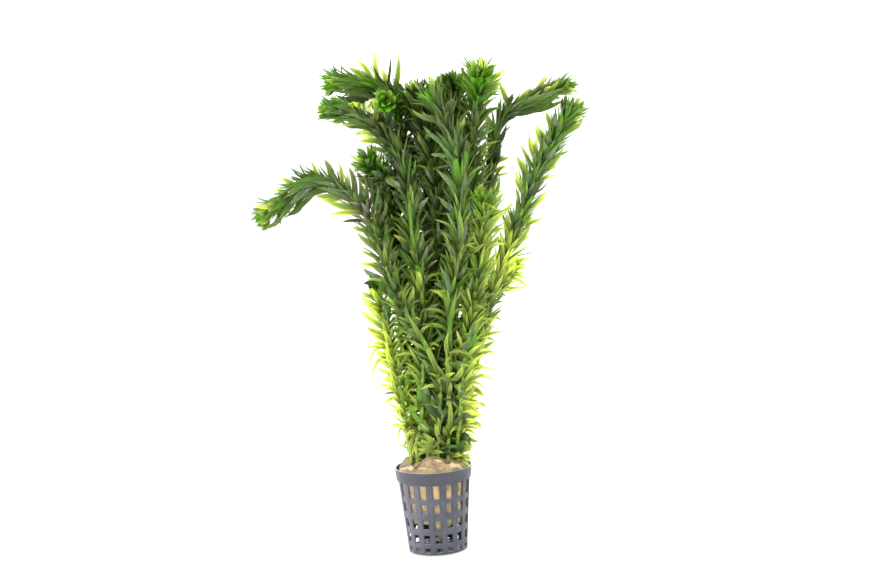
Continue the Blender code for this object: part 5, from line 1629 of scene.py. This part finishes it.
def rockwool(material, draw):
    """The plug as one grid turned round its axis, closed in the middle of its top and its foot."""
    points, folds = wool_points(draw)
    points = points * MM
    around = WOOL_AROUND
    ends = np.array([points[0].mean(axis=0), points[-1].mean(axis=0)])
    count = points.shape[0] * around
    quads = ring_quads(points.shape[0], around)[:, ::-1]
    top_fan = end_fan(0, around, count)
    foot_fan = end_fan(count - around, around, count + 1, turned=True)
    relief = np.zeros((count + 2, 3))
    relief[: folds.size, 0] = folds.ravel()
    made = new_piece(
        "rockwool_wad", np.vstack([points.reshape(-1, 3), ends]),
        [(quads, 0), (top_fan, 0), (foot_fan, 0)], [material],
        [("relief", "FLOAT_VECTOR", relief)],
    )
    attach(made, BODY)
    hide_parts("rockwool_plug")


def placed(name, data, right, up, ahead, place):
    """An object that looks along ahead from its place, linked into the scene."""
    made = bpy.data.objects.new(name, data)
    bpy.context.scene.collection.objects.link(made)
    matrix = np.eye(4)
    matrix[:3, :4] = np.stack([right, up, -ahead, place], -1)
    made.matrix_world = Matrix(matrix.tolist())
    return made


def add_camera():
    data = bpy.data.cameras.new("camera")
    data.sensor_width = CAMERA_FILM
    data.lens = CAMERA_LENS
    bpy.context.scene.camera = placed("camera", data, *camera_axes(), CAMERA_PLACE)


def add_lamp(name, place, size, power):
    """A round soft lamp that shines at LAMP_TARGET."""
    data = bpy.data.lights.new(name, "AREA")
    data.shape = "DISK"
    data.size = size
    data.energy = power
    ahead = unit(np.array(LAMP_TARGET) - np.array(place))
    side = unit(np.cross(ahead, (0, 0, 1)))
    placed(name, data, side, np.cross(side, ahead), ahead, place)


def add_stage():
    """A wide pale floor that the pot stands on."""
    reach = FLOOR_REACH
    points = np.array([(-reach, -reach, 0), (reach, -reach, 0), (reach, reach, 0), (-reach, reach, 0)])
    material, net = new_material("pale_floor")
    net.put_out(net.principled({"Base Color": FLOOR_WHITE, "Roughness": 0.9}))
    floor = new_piece("floor", points, [(np.array([[0, 1, 2, 3]]), 0)], [material])


def add_sky():
    """A sky that is white behind the plant and overhead, and dim on the camera's side."""
    world = bpy.data.worlds.new("studio")
    bpy.context.scene.world = world
    world.use_nodes = True
    world.node_tree.nodes.clear()
    net = Net(world.node_tree)
    way = net.axes(net.add("ShaderNodeTexCoord").outputs["Generated"])
    behind = net.ramp(way[1], -0.35, 0.35)
    above = net.ramp(way[2], 0.55, 0.95)
    level = net.line(net.math("MAXIMUM", behind, above), SKY_BACK - SKY_FRONT, SKY_FRONT)
    shade = net.add("ShaderNodeBackground", {"Color": (1, 1, 1, 1), "Strength": level})
    net.put_out(shade.outputs[0], "World")


def main():
    draw = np.random.default_rng(7)
    tissue = tissue_group()
    greens = [leaf_material(tissue), stem_material(tissue)]
    curves = {name: smooth_route(look.route) for name, look in SHOOTS.items()}
    for name, look in SHOOTS.items():
        shoot(name, look, curves, greens, draw)
    rockwool(wool_material(), draw)
    net_pot(pot_material())
    add_stage()
    add_sky()
    for lamp in LAMPS:
        add_lamp(*lamp)
    add_camera()
    bpy.context.scene.view_settings.view_transform = "Standard"


main()
